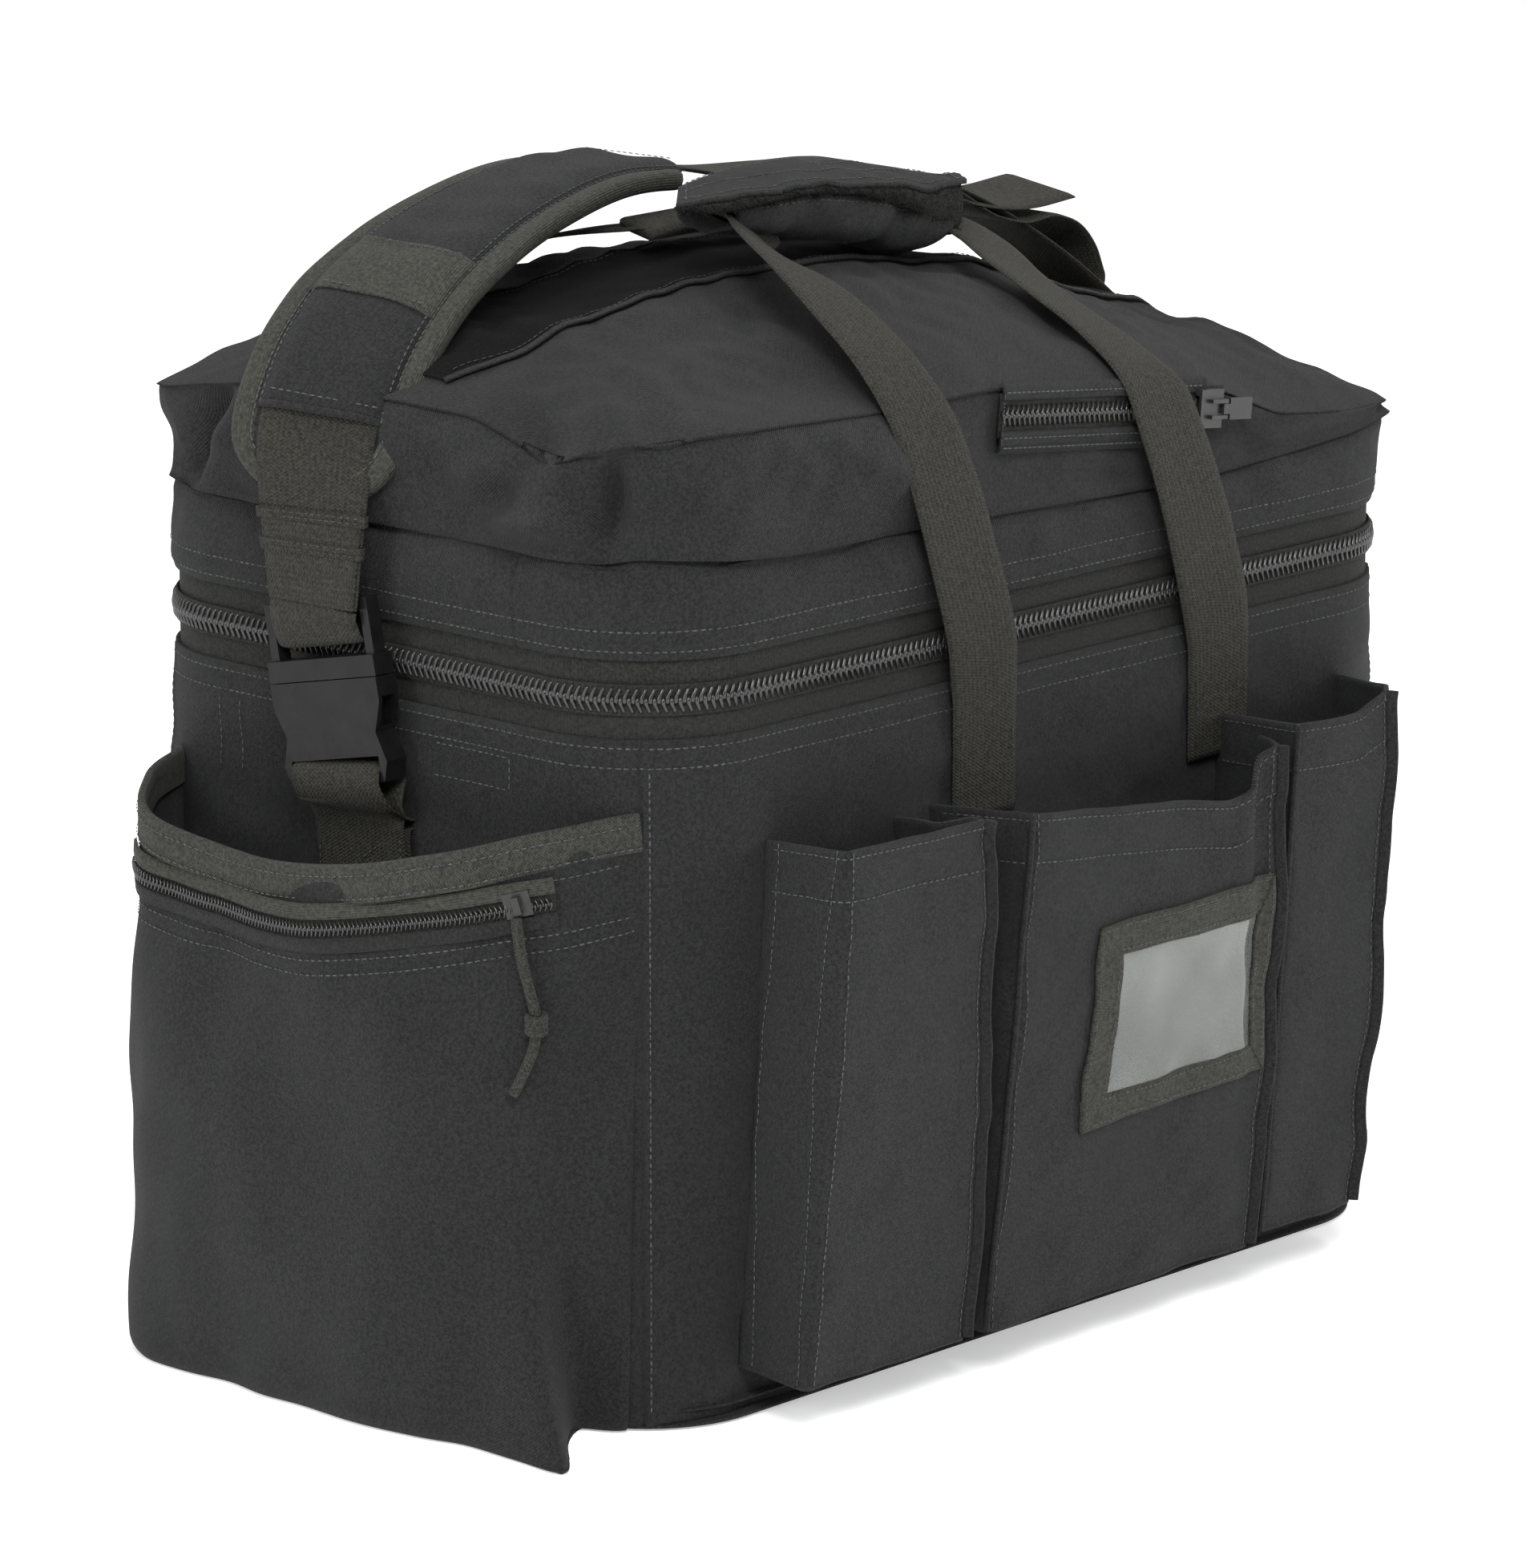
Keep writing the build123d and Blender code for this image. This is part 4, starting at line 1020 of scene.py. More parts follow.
# Each pocket: rim, foot, base height, swell, seed, front corners as (x, y) on the rim, flanges as
# (name's ending, corner, width and direction), and stitched columns as (corner, steps from it),
# where corner 2 is the pocket's first column.
POCKETS = {
    "left": (
        [(-174, -151, 238), (-178, -200, 242), (-95, -200, 240), (-91, -187, 239),
         (-99, -176, 236), (-93, -164, 234), (-98, -151, 234)],
        [(-181, -143.5), (-186, -186), (-92, -186), (-90, -176), (-93, -166), (-91, -156),
         (-93, -143.5)], 22.0, 2.5, 21, ((-178, -200), (-95, -200)),
        [("flange", 1, RIGHT_FLANGE)], [(0, 1), (0, -2), (1, -1), (2, 3)]),
    "centre": (
        [(-76, -151, 235), (-69, -200, 238), (20, -200, 227), (56, -200.5, 221),
         (67, -203, 224), (77, -195, 236), (87, -199, 239), (96, -186, 238),
         (103, -170, 238), (112, -151, 238)],
        [(-80, -143.5), (-80, -186), (20, -186), (56, -186), (66, -186), (76, -186),
         (86, -186), (92, -174), (94, -160), (98, -143.5)], 22.0, 3.0, 22,
        ((-69, -200), (87, -199)),
        [("flange_left", 0, LEFT_FLANGE), ("flange_right", 1, RIGHT_FLANGE)],
        [(1, -1), (0, 1)]),
    "right": (
        [(103, -151, 243), (97, -200, 246), (139, -200, 244), (159, -199, 250),
         (168, -191, 250), (174, -176, 248), (180, -148, 247)],
        [(100, -143.5), (94, -186), (135, -186), (155, -186), (163, -178), (170, -166),
         (176, -143.0)], 26.0, 2.0, 23, ((97, -200), (159, -199)),
        [("flange_left", 0, LEFT_FLANGE), ("flange_right", 1, RIGHT_FLANGE)], [(1, -1)]),
}
pocket_rows, pocket_grids = [], {}
for key, (top, low, base_z, swell, seed, corners, flanges, columns) in POCKETS.items():
    grid, out, rows = pocket(key, top, low, base_z, swell, seed)
    pocket_grids[key] = grid
    pocket_rows += rows
    ends = [corner_index(grid, x, y) for x, y in corners] + [0]
    for ending, corner, (width, spread) in flanges:
        edge_trim(f"pocket_{key}_{ending}", grid, ends[corner], width, spread)
    stitched = [ends[corner] + steps for corner, steps in columns]
    pocket_rows += [(grid[k] + out[k] * 0.2, out[k]) for k in stitched]
stitches("pocket_stitching", pocket_rows, THREAD, "bag", seed=7)

# ---------------------------------------------------------------- identity-card window
def front_of(grid):
    """y of a pocket's front at x, z."""
    flat = grid.reshape(-1, 3)
    faces, _ = grid_faces(*grid.shape[:2])
    tree = BVHTree.FromPolygons([Vector(p) for p in flat], faces.tolist())

    def find(x, z, lift):
        hit, normal, _, _ = tree.ray_cast(Vector((x, -260, z)), Vector((0, 1, 0)))
        y = hit.y if hit else -196.0
        return np.array([x, y - lift, z])

    return find


face_at = front_of(pocket_grids["centre"])
OUTER = np.array([(-26, 182), (84, 185), (82, 101), (-34, 97)], float)
INNER = np.array([(-12, 169), (76, 169), (74, 113), (-18, 110)], float)


def patch_grid(corners, nu, nv, lift):
    """Grid on the pocket's front between four (x, z) corners: two above, then two below."""
    a, b, c, d = corners
    u, v = np.linspace(0, 1, nu), np.linspace(0, 1, nv)
    points = np.empty((nu, nv, 3))
    for i, s in enumerate(u):
        for j, t in enumerate(v):
            x, z = (a * (1 - s) + b * s) * t + (d * (1 - s) + c * s) * (1 - t)
            points[i, j] = face_at(x, z, lift(s, t) if callable(lift) else lift)
    return points


o, n = OUTER, INNER
strips = {
    "top": ((o[0], o[1], n[1] + (8, 0), n[0] + (-14, 0)), 40, 8, 1.9),
    "bottom": ((n[3] + (-15, 0), n[2] + (8, 0), o[2], o[3]), 40, 8, 1.9),
    "left": ((o[0], n[0], n[3], o[3]), 8, 36, 2.4),
    "right": ((n[1], o[1], o[2], n[2]), 6, 36, 2.4),
}
rows = []
for key, (corners, nu, nv, lift) in strips.items():
    p = patch_grid(corners, nu, nv, lift)
    sheet(f"id_window_edge_{key}", p, BINDING, "bag", "binding",
          *(["id_window_frame"] if key == "top" else []), thick=1.5)
    down = np.tile([0, -1.0, 0], (max(nu, nv), 1))
    if key in ("top", "bottom"):
        rows += [(p[1:-1, 1], down[:nu - 2]), (p[1:-1, -2], down[:nu - 2])]
    else:
        rows += [(p[1, 1:-1], down[:nv - 2]), (p[-2, 1:-1], down[:nv - 2])]
stitches("id_window_stitching", rows, THREAD, "bag", seed=8, pitch=2.6, length=1.9, wide=0.3)


def film_lift(s, t):
    right_part = step(s, 0.6, 0.72)
    ripple = 0.45 * np.sin(9 * s + 3.4 * t + 1.2 * np.sin(6 * t)) + 0.3 * np.sin(4 * s - 8 * t)
    crumple = 0.7 * np.sin(22 * s + 5 * t) * np.sin(7 * t + 9 * s)
    return 1.1 + 0.55 * ripple + 0.6 * right_part * crumple


FILM_MARGIN = np.array([(-3, 2), (3, 2), (3, -2), (-3, -2)])
sheet("id_window_film", patch_grid(n + FILM_MARGIN, 64, 42, film_lift), FILM, "bag",
      "clear_vinyl", "id_window_clear")

# ---------------------------------------------------------------- end pocket
END_TOP = [(-225.5, -132.6, 254), (-242, -125, 252), (-262, -113.3, 249), (-279, -88, 242),
           (-292, -62, 235), (-297, -20, 227), (-297, 30, 226), (-292, 82, 233),
           (-268, 108, 239), (-234, 121, 242)]
END_LOW = [(-228, -128), (-245, -121), (-263, -111), (-281, -92), (-292, -62), (-295, -20),
           (-295, 30), (-293, 84), (-270, 114), (-233, 126)]
pairs = spline([(*t, *b) for t, b in zip(END_TOP, END_LOW)], 130)
high, foot = pairs[:, :3], pairs[:, 3:5]
q = run_along(foot)
f = np.concatenate([[0, 0.004, 0.012, 0.022], np.linspace(0.035, 1, 62)])
xy = foot[:, None] * (1 - f)[None, :, None] + high[:, None, :2] * f[None, :, None]
z = 1.0 + (high[:, None, 2] - 1.0) * f[None, :]
grid = np.concatenate([xy, z[..., None]], -1)
along = norm(np.gradient(grid, axis=0))
out = norm(np.cross([0, 0, 1.0], along)) * -1.0
if (out[60, 20] @ np.array([-1.0, 0, 0])) < 0:
    out = -out
run = q[:, None] + 0 * z
# The lower front corner is pulled out to a point, with a tuck beside it.
CORNER_RUN, TUCK_RUN = 46, 17
lift_low = np.clip(1 - z / 95, 0, 1) ** 1.7
grid[..., 0] -= 13 * lift_low * bump(run, CORNER_RUN, 17.0)
grid[..., 1] -= 37 * lift_low * bump(run, CORNER_RUN, 15.0)
tuck = np.clip(1 - z / 75, 0, 1) ** 1.2
grid = grid + out * (-8.0 * tuck * bump(run, TUCK_RUN, 9.0))[..., None]
slack = (crease(run, z, (46, 0), (42, 95), 9, 4.0) + crease(run, z, (20, 0), (30, 70), 7, -4.5)
         + crease(run, z, (12, 225), (95, 60), 30, 3.0) + 1.6 * wobble(grid, 110, 41)
         + 0.7 * wobble(grid, 45, 42) + 3.0 * np.sin(np.pi * f)[None, :] * bump(run, 170, 90))
grid = grid + out * slack[..., None] * (step(run, 0, 8) * step(q[-1] - run, 0, 8))[..., None]
low_edge = np.clip(7 - z, 0, 7) / 7
round_edge = 5 * (1 - np.sqrt(1 - low_edge**2)) * (1 - bump(run, CORNER_RUN, 14.0))
grid = grid - out * round_edge[..., None]
inside_out = bool(np.cross(grid[61, 20] - grid[60, 20], [0, 0, 1.0]) @ out[60, 20] < 0)
sheet("end_pocket_cloth", grid, FABRIC, "bag", "fabric_body", "end_pocket_shell", thick=2.0,
      flip=inside_out)
bottom = grid[:, 0]
back_line = np.stack([np.linspace(-228, -235, len(bottom)), np.linspace(-124, 126, len(bottom)),
                      1.0 + 0 * q], 1)
t = np.linspace(0, 1, 12)[None, :, None]
sheet("end_pocket_base", bottom[:, None] * (1 - t) + back_line[:, None] * t, FABRIC, "bag",
      "fabric_body", thick=1.0)

rim = Rail(grid[:, -1], None, smooth=False)
if rim.out[60] @ np.array([-1.0, 0, 0]) < 0:
    rim.out = -rim.out
runs = np.linspace(0, rim.length, 150)
finish_piece(rim.grid("end_pocket_binding_cloth", runs,
                      [(-13, -2.6), (-4, -2.7), (0.2, -2.4), (1.2, -1.2), (1.2, 0.2), (0.2, 1.2),
                       (-4, 1.3), (-9, 1.2), (-13.8, 1.4), (-14.6, 0.4)], HERRINGBONE, flip=True),
             "bag", "binding", "end_pocket_binding")


def end_wall(drop, start, end, lift):
    """Line on the end pocket's wall, a given depth below the rim."""
    columns = [k for k in range(len(grid)) if start <= q[k] <= end]
    line, ways = [], []
    for k in columns:
        z_here = grid[k, -1, 2] - (drop(q[k]) if callable(drop) else drop)
        line.append([np.interp(z_here, grid[k, :, 2], grid[k, :, c]) for c in range(2)] + [z_here])
        ways.append(np.array([np.interp(z_here, grid[k, :, 2], out[k, :, c]) for c in range(3)]))
    line, ways = np.array(line), norm(np.array(ways))
    return line + ways * lift, ways


def zip_drop(run):
    return np.interp(run, [30, 75, 130, 190, 260, 300], [27, 26, 24, 23, 28, 32])


centre_line, ways = end_wall(zip_drop, 32, 262, 0.3)
end_zip = Rail(centre_line, ways, smooth=False)
runs = np.linspace(0, end_zip.length, 130)
finish_piece(end_zip.grid("end_zip_tape_cloth", runs, [(v, 1.0) for v in np.linspace(-8, 8, 7)],
                          TAPE, thick=0.7, flip=True), "bag", "zip_tape", "end_zip_tape")
chain("end_zip_teeth", end_zip, 2.0, end_zip.length - 2, "bag", "zip_coil", "end_zip_coil", 0.56,
      2.5, 0.36, 2.0)
UPPER_TRIM = [(3.8, 0.8), (3.9, 2.0), (4.6, 2.3), (9.2, 2.0), (10.2, 0.8)]
LOWER_TRIM = [(-10.0, 0.6), (-9.2, 1.8), (-4.6, 2.2), (-3.9, 1.8), (-3.8, 0.8)]
finish_piece(end_zip.grid("end_zip_trim_upper", runs, UPPER_TRIM, BINDING, flip=True),
             "bag", "binding")
finish_piece(end_zip.grid("end_zip_trim_lower", runs, LOWER_TRIM, FABRIC, flip=True),
             "bag", "fabric_body")
rows = [end_wall(lambda r: zip_drop(r) + 13, 0, 330, 0.2),
        end_wall(lambda r: zip_drop(r) + 19, 0, 330, 0.2), end_wall(18.5, 6, 330, 0.2),
        rim.row(-3.4, 1.5), rim.row(-12.6, 1.6)]
stitches("end_pocket_stitching", rows, THREAD, "bag", seed=9)


# ---------------------------------------------------------------- handles
# Each strap is a list of (x, y, z, tilt) from its sewn end up to the grip.
HANDLE_WIDTH = 38.0
FRONT_LEFT = [
    (-47, -154.2, 226, 0), (-47.5, -154.8, 262, 0), (-50, -157, 282, 0), (-57, -161.5, 301, 0),
    (-70, -163.5, 336, 0), (-80, -161, 369, 0.02), (-85, -153, 395, 0.05), (-87, -137, 415, 0.1),
    (-85, -114, 430, 0.15), (-80, -84, 444, 0.3), (-74, -58, 451, 0.55), (-64, -40, 455, 0.7),
    (-48, -32, 457, 0.5),
]
FRONT_RIGHT = [
    (100, -154.2, 226, 0), (99, -154.8, 262, 0), (96, -157, 280, 0), (84, -161.5, 308, 0),
    (72, -163, 338, 0), (64, -159, 366, -0.05), (59, -150.5, 389, -0.15), (58, -129, 404, -0.25),
    (58, -100, 417, -0.3), (60, -73, 428, -0.3), (63, -52, 437, -0.25), (58, -40, 443, -0.2),
    (40, -32, 446, -0.1),
]
REAR_LEFT = [
    (-48, 154.5, 243, 0), (-48, 155.5, 262, 0), (-50, 157.5, 280, 0), (-53, 161, 302, 0),
    (-61, 163.5, 352, 0), (-68, 161, 392, 0), (-72, 152, 409, 0), (-73, 125, 424, 0),
    (-73, 80, 437, 0), (-72, 42, 446, 0), (-62, 14, 450, 0),
]
REAR_RIGHT = [
    (98, 154.5, 243, 0), (98, 155.5, 262, 0), (97, 157.5, 280, 0), (94, 161, 302, 0),
    (88, 163, 352, 0), (82, 160, 390, 0), (80, 150, 406, 0), (80, 122, 416, -0.1),
    (80, 80, 428, -0.15), (78, 42, 440, -0.1), (66, 14, 447, 0),
]


def handle(name, paths, facing, body, nodes, grip):
    """Webbing handle: two straps that narrow towards the grip, their stitched ends, the grip."""
    for side, points in zip(("left", "right"), paths):
        p = np.array(points, float)
        last = len(p) - 1
        width = HANDLE_WIDTH - 12.0 * step(np.arange(last + 1), last - 2.6, last)
        tilt = p[:, 3] * (-1 if side == "left" else 1)
        across = np.stack([1 + 0 * tilt, 0 * tilt, tilt], 1)
        strap, _, _, _ = ribbon_object(f"{name}_{side}", p[:, :3], across, width, 1.9, WEBBING,
                                       count=120)
        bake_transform(strap)
        if side == "left":
            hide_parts(*nodes)
        rows = []
        for v in (-15.5, 15.5):
            z = np.arange(244, 264, 2.0)
            rows.append((np.stack([p[0, 0] + v + 0 * z, facing * (156.0 + 0 * z), z], 1),
                         np.tile([0, facing, 0.0], (len(z), 1))))
        stitches(f"{name}_anchor_stitching_{side}", rows, DARK_THREAD, "bag")
    webbing(f"{name}_grip", grip, (0, 0.96, 0.2), 20.0, body, thick=5.0, count=30)


handle("front_strap", (FRONT_LEFT, FRONT_RIGHT), -1, "front_handle",
       ("front_handle", "front_handle_anchors"),
       [(-60, -30, 458), (-20, -29, 457), (25, -29, 449), (60, -31, 445)])
handle("rear_strap", (REAR_LEFT, REAR_RIGHT), 1, "rear_handle",
       ("rear_handle", "rear_handle_anchors"),
       [(-74, 14, 450), (-20, 14, 450), (30, 14, 449), (78, 14, 447)])

# ---------------------------------------------------------------- handle wrap
u = np.linspace(0, 1, 60)[:, None]
v = np.linspace(0, 2 * np.pi, 45)[None, :-1]
x = -78 + 140 * u + 0 * v
along_x = -78 + 140 * u
half_y = 22 - 5 * np.abs(2 * u - 1) ** 3
half_z = np.interp(along_x, [-78, -60, -38, -4, 32, 62], [8.5, 10.5, 12.5, 13.5, 13.0, 11.0])
cy = -30 + 2 * u
cz = np.interp(along_x, [-78, -60, -38, -4, 32, 62], [463, 461, 460.5, 455, 446.5, 446])
c, s_ = np.cos(v), np.sin(v)
p = np.stack([x, cy + half_y * np.sign(c) * np.abs(c) ** 0.75,
              cz + half_z * np.sign(s_) * np.abs(s_) ** 0.8], -1)
ring = norm(p - np.stack([x, cy + 0 * v, cz + 0 * v], -1))
WRAP_FOLDS = [((4, -14), (24, 6), 5, -4.5), ((30, -16), (58, 4), 5, 3.0),
              ((-52, -14), (-34, 8), 6, -3.0), ((48, -12), (66, 8), 5, -2.5),
              ((-20, -16), (0, 0), 9, 2.0)]
slack = 0.9 * wobble(p, 45, 51) + 0.5 * wobble(p, 18, 52)
for fold in WRAP_FOLDS:
    slack = slack + crease(x, p[..., 2] - cz, *fold)
p = p + ring * slack[..., None]
ends = []
for k in (0, -1):
    middle = p[k].mean(0)
    inner = [middle + (p[k] - middle) * g + np.array([1.0, 0, 0]) * (1 if k == 0 else -1) * d
             for g, d in ((0.9, 0.5), (0.82, 4.0), (0.75, 14.0))]
    ends.append(np.array(inner))
p = np.concatenate([ends[0][::-1], p, ends[1]], 0)
wrap = grid_object("wrap_cloth", p, FABRIC, wrap_v=True, flip=True)
wrap.data.materials[0] = FABRIC
finish_piece(wrap, "front_handle", "fabric_body", "handle_wrap")
rows = []
for k in (12, 20):
    rows.append((p[5:-5, k], ring[2:-2, k]))
stitches("wrap_stitching", rows, DARK_THREAD, "front_handle", seed=10)

# Flap over the wrap, with the hook strip under its front edge.
REAR_EDGE = [(-72, 469), (-58, 472), (-34, 474), (-6, 473), (29, 468), (64, 460), (92, 453)]
FRONT_EDGE = [(-112, 472), (-93, 473), (-49, 473), (-2, 468), (44, 462), (54, 461)]


def flap_point(a, b, drop=0.0):
    """Point on the flap: a goes along it from left to right, b from its rear edge to its front."""
    a, b = np.broadcast_arrays(np.asarray(a, float), np.asarray(b, float))
    rear_x, front_x = -72 + 164 * a, -112 + 166 * a
    rear_z = np.interp(rear_x, *np.array(REAR_EDGE, float).T)
    front_z = np.interp(front_x, *np.array(FRONT_EDGE, float).T)
    x = rear_x * (1 - b) + front_x * b
    y = -8 - 46 * b + 9 * b * step(0.2 - a, 0, 0.2) + 1.2 * np.sin(7 * a) * b
    z = rear_z * (1 - b) + front_z * b + 2.4 * np.sin(np.pi * b)
    p = np.stack([x, y], -1)
    z = z + 0.5 * wobble(p, 50, 53) + 0.35 * wobble(p, 20, 54) * b + 1.6 * step(a, 0.94, 1.0) * b
    return np.stack([x, y, z - drop], -1)


a = np.linspace(0, 1, 90)[:, None]
b = np.concatenate([np.linspace(0, 0.94, 24), [0.965, 0.985, 1.0]])[None, :]
flap = grid_object("wrap_flap_cloth", flap_point(a, b), FABRIC, thick=2.0, flip=True)
finish_piece(flap, "wrap_flap", "wrap_flap", "wrap_flap")
HOOK_LOW = [(-114, 470), (-94, 465), (-71, 465.5), (-43, 467), (-13, 464), (14, 456), (45, 443),
            (54, 440)]


def hook_point(a, b):
    """Point on the hook strip, from under the flap's front edge (b 0) to its lower edge (b 1)."""
    top = flap_point(a, 0.985, 1.6)
    low = np.interp(top[..., 0], *np.array(HOOK_LOW, float).T)
    z = top[..., 2] * (1 - b) + np.minimum(low, top[..., 2] - 2) * b
    y = top[..., 1] + 1.2 - 2.6 * np.sin(np.pi * b) + 3.0 * b
    return np.stack([top[..., 0] + 2 * b * (a - 0.2), y, z], -1)


p = hook_point(np.linspace(0.02, 0.985, 100)[:, None], np.linspace(0, 1, 10)[None, :])
hook = grid_object("wrap_flap_hook", p, HOOK, thick=1.4, flip=True)
finish_piece(hook, "wrap_flap", "wrap_flap")
rng = np.random.default_rng(61)
fuzz = []
for k in range(700):
    base_point = hook_point(rng.uniform(0.02, 0.985), rng.choice([rng.uniform(0, 1), 0.98]))
    way = norm(np.array([rng.normal() * 0.6, -1.0, rng.normal() * 0.6]))
    fuzz.append((np.array([base_point, base_point + way * rng.uniform(1.2, 2.6)]),
                 np.array([[0, 0, 1.0], [0, 0, 1.0]])))
stitches("wrap_flap_fuzz", fuzz, HOOK, "wrap_flap", pitch=1.2, length=1.6, wide=0.28, seed=11)
rows = []
for b0 in (0.9, 0.62, 0.12):
    a = np.linspace(0.02, 0.98, 100)
    rows.append((flap_point(a, b0, -0.2), np.tile([0, -0.2, 1.0], (100, 1))))
for a0 in (0.03, 0.965):
    b = np.linspace(0.05, 0.95, 26)
    rows.append((flap_point(a0, b, -0.2), np.tile([0, -0.2, 1.0], (26, 1))))
stitches("wrap_flap_stitching", rows, THREAD, "wrap_flap", seed=12)

# ---------------------------------------------------------------- shoulder strap
STRAP = [
    (-258.4, 15.2, 322.0), (-258.0, 15.6, 345.0), (-257.0, 16.0, 370.0), (-254.0, 17.0, 389.0),
    (-242.0, 20.0, 411.0), (-212.0, 27.0, 437.0), (-170.0, 36.0, 455.0), (-122.0, 46.0, 466.0),
    (-75.0, 54.0, 471.0), (-28.0, 60.0, 467.0), (20.0, 62.0, 457.0), (75.0, 62.0, 452.5),
    (110.0, 61.0, 450.0), (142.0, 58.0, 440.0), (175.0, 52.0, 423.0), (210.0, 43.0, 398.0),
    (236.0, 32.0, 371.0), (252.0, 22.0, 348.0), (257.6, 16.5, 335.0), (258.4, 15.2, 322.0),
]
STRAP_WIDTH = 49.0
turn = np.radians([0, 8, 20, 28, 30, 30, 26, 18, 10, 4] + [0] * 10)
STRAP_ACROSS = np.stack([-np.sin(turn), np.cos(turn), 0 * turn], 1)
strap, strap_line, strap_side, strap_up = webbing(
    "shoulder_webbing", STRAP, STRAP_ACROSS, STRAP_WIDTH, "shoulder_strap", "strap_webbing",
    count=240)


class Strip(Rail):
    """Rail along the shoulder strap: across runs towards the front, out is away from the bag."""

    def __init__(self, line, side, up):
        self.line, self.up, self.out = line, side, up
        self.run = run_along(line)
        self.length = self.run[-1]


if strap_up[100] @ np.array([0, 0, 1.0]) < 0:
    strap_up = -strap_up
over = Strip(strap_line, strap_side, strap_up)
BUCKLE_X, BUCKLE_Y, BUCKLE_Z = 253.0, 2.0, 250.0
BUCKLE_LEAN = np.radians(12)
LOOP_PATH = [(66, 5.2), (61.5, 4.2), (57.6, 2.6), (56.4, 0.0), (57.6, -2.6), (61.5, -4.2),
             (64, -4.6), (67, -4.4), (70, -3.6)]
TAB_LOW, TAB_HIGH, TAB_REAR, TAB_FRONT, TAB_FACE = 200, 234, -21, 25, 247.1
for side, name, upper in ((-1, "left", STRAP[0]), (1, "right", STRAP[-1])):
    c, s_ = np.cos(BUCKLE_LEAN), np.sin(BUCKLE_LEAN)

    def at_buckle(v, out, side=side):
        """Point by a buckle: v along it, out from the bag."""
        return (side * (BUCKLE_X + out), BUCKLE_Y + v * s_, BUCKLE_Z + v * c)

    joined = [(upper[0], upper[1], upper[2] + 1)] + [at_buckle(v, o) for v, o in LOOP_PATH]
    webbing(f"ladder_loop_{name}", joined, (0, c, -s_), 48.0, "shoulder_strap", count=70)
    tab_path = [(side * 243.0, 2.0, 198.0), (side * 243.4, 2.0, 222.0), (side * 244.5, 2.0, 236.0),
                at_buckle(-9, -3.5), at_buckle(1, -6.8), at_buckle(6.5, -5.4), at_buckle(8.6, 0.0),
                at_buckle(6.5, 5.4), at_buckle(0.5, 6.8), at_buckle(-6.5, 4.0),
                (side * 249.5, 2.0, 237.0), (side * 246.2, 2.0, 222.0), (side * 245.8, 2.0, 200.0)]
    webbing(f"buckle_tab_{name}", tab_path, (0, 1, -0.12), 50.0, "bag", f"strap_tab_{name}",
            thick=1.8, count=110)
    a, b, c, d = [(y, z) for z in (TAB_LOW, TAB_HIGH) for y in (TAB_REAR, TAB_FRONT)]
    rows = []
    for (y0, z0), (y1, z1) in ((a, c), (b, d), (a, b), (c, d), (a, d), (c, b)):
        t = np.linspace(0, 1, 24)
        line = np.stack([side * TAB_FACE + 0 * t, y0 + (y1 - y0) * t, z0 + (z1 - z0) * t], 1)
        rows.append((line, np.tile([side, 0, 0.0], (24, 1))))
    stitches(f"buckle_tab_stitching_{name}", rows, DARK_THREAD, "bag", seed=13)

# Keeper folds and stitches where the webbing doubles back above the left buckle.
for name, low, high in (("upper", 20, 25), ("lower", 33, 37.5)):
    keeper = over.grid(f"webbing_keeper_{name}", np.linspace(low, high, 6),
                       [(-25.6, -1.2), (-25.7, 1.6), (-24.8, 2.2), (0, 2.4), (24.8, 2.2),
                        (25.7, 1.6), (25.6, -1.2)], WEBBING, thick=0.8)
    finish_piece(keeper, "shoulder_strap", "webbing")
second = over.grid("webbing_second_layer", np.linspace(-1, 38, 24),
                   [(v, 1.9) for v in np.linspace(-23.8, 23.8, 12)], WEBBING, thick=1.4)
finish_piece(second, "shoulder_strap", "webbing")
rows = [over.crossing(run, 23, 2.5) for run in (21.5, 24, 34.5, 36.5)]
stitches("webbing_keeper_stitching", rows, DARK_THREAD, "shoulder_strap", seed=14)

# Pad: a foam core in fabric, bound all round, with a sleeve and a paler patch over the webbing.
PAD_FROM = float(np.interp(364, strap_line[:40, 2], over.run[:40])) - 2
PAD_TO = float(over.run[np.argmin(np.hypot(strap_line[:, 0] + 22, strap_line[:, 2] - 466))])
PAD_HALF, PAD_ROUND, PAD_MIDDLE = 36.0, 30.0, -4.4


def pad_half(run):
    """Half width of the pad, with rounded ends."""
    d = np.minimum(run - PAD_FROM, PAD_TO - run)
    near = np.clip((PAD_ROUND - d) / PAD_ROUND, 0, 1)
    return PAD_HALF * np.sqrt(np.clip(1 - near**2.2, 0, 1)) + 0.01


runs = np.concatenate([PAD_FROM + PAD_ROUND * (1 - np.cos(np.linspace(0, np.pi / 2, 14))),
                       np.linspace(PAD_FROM + PAD_ROUND + 4, PAD_TO - PAD_ROUND - 4, 64),
                       PAD_TO - PAD_ROUND * (1 - np.sin(np.linspace(0, np.pi / 2, 14)))])
angle = np.linspace(0, 2 * np.pi, 40, endpoint=False)
c, s_ = np.cos(angle), np.sin(angle)
shape_v = np.sign(c) * np.abs(c) ** 0.35
shape_h = np.sign(s_) * np.abs(s_) ** 0.7
half = pad_half(runs)
p = over.place(runs[:, None], half[:, None] * shape_v[None, :],
               -4.6 + 3.6 * shape_h[None, :] * np.sqrt(half / PAD_HALF)[:, None])
ring = over.at(over.out, runs)
p = p + ring[:, None] * (0.5 * wobble(p, 40, 62))[..., None]
sheet("pad_cushion", p, FABRIC, "shoulder_strap", "fabric_body", "pad_foam",
                wrap_v=True)

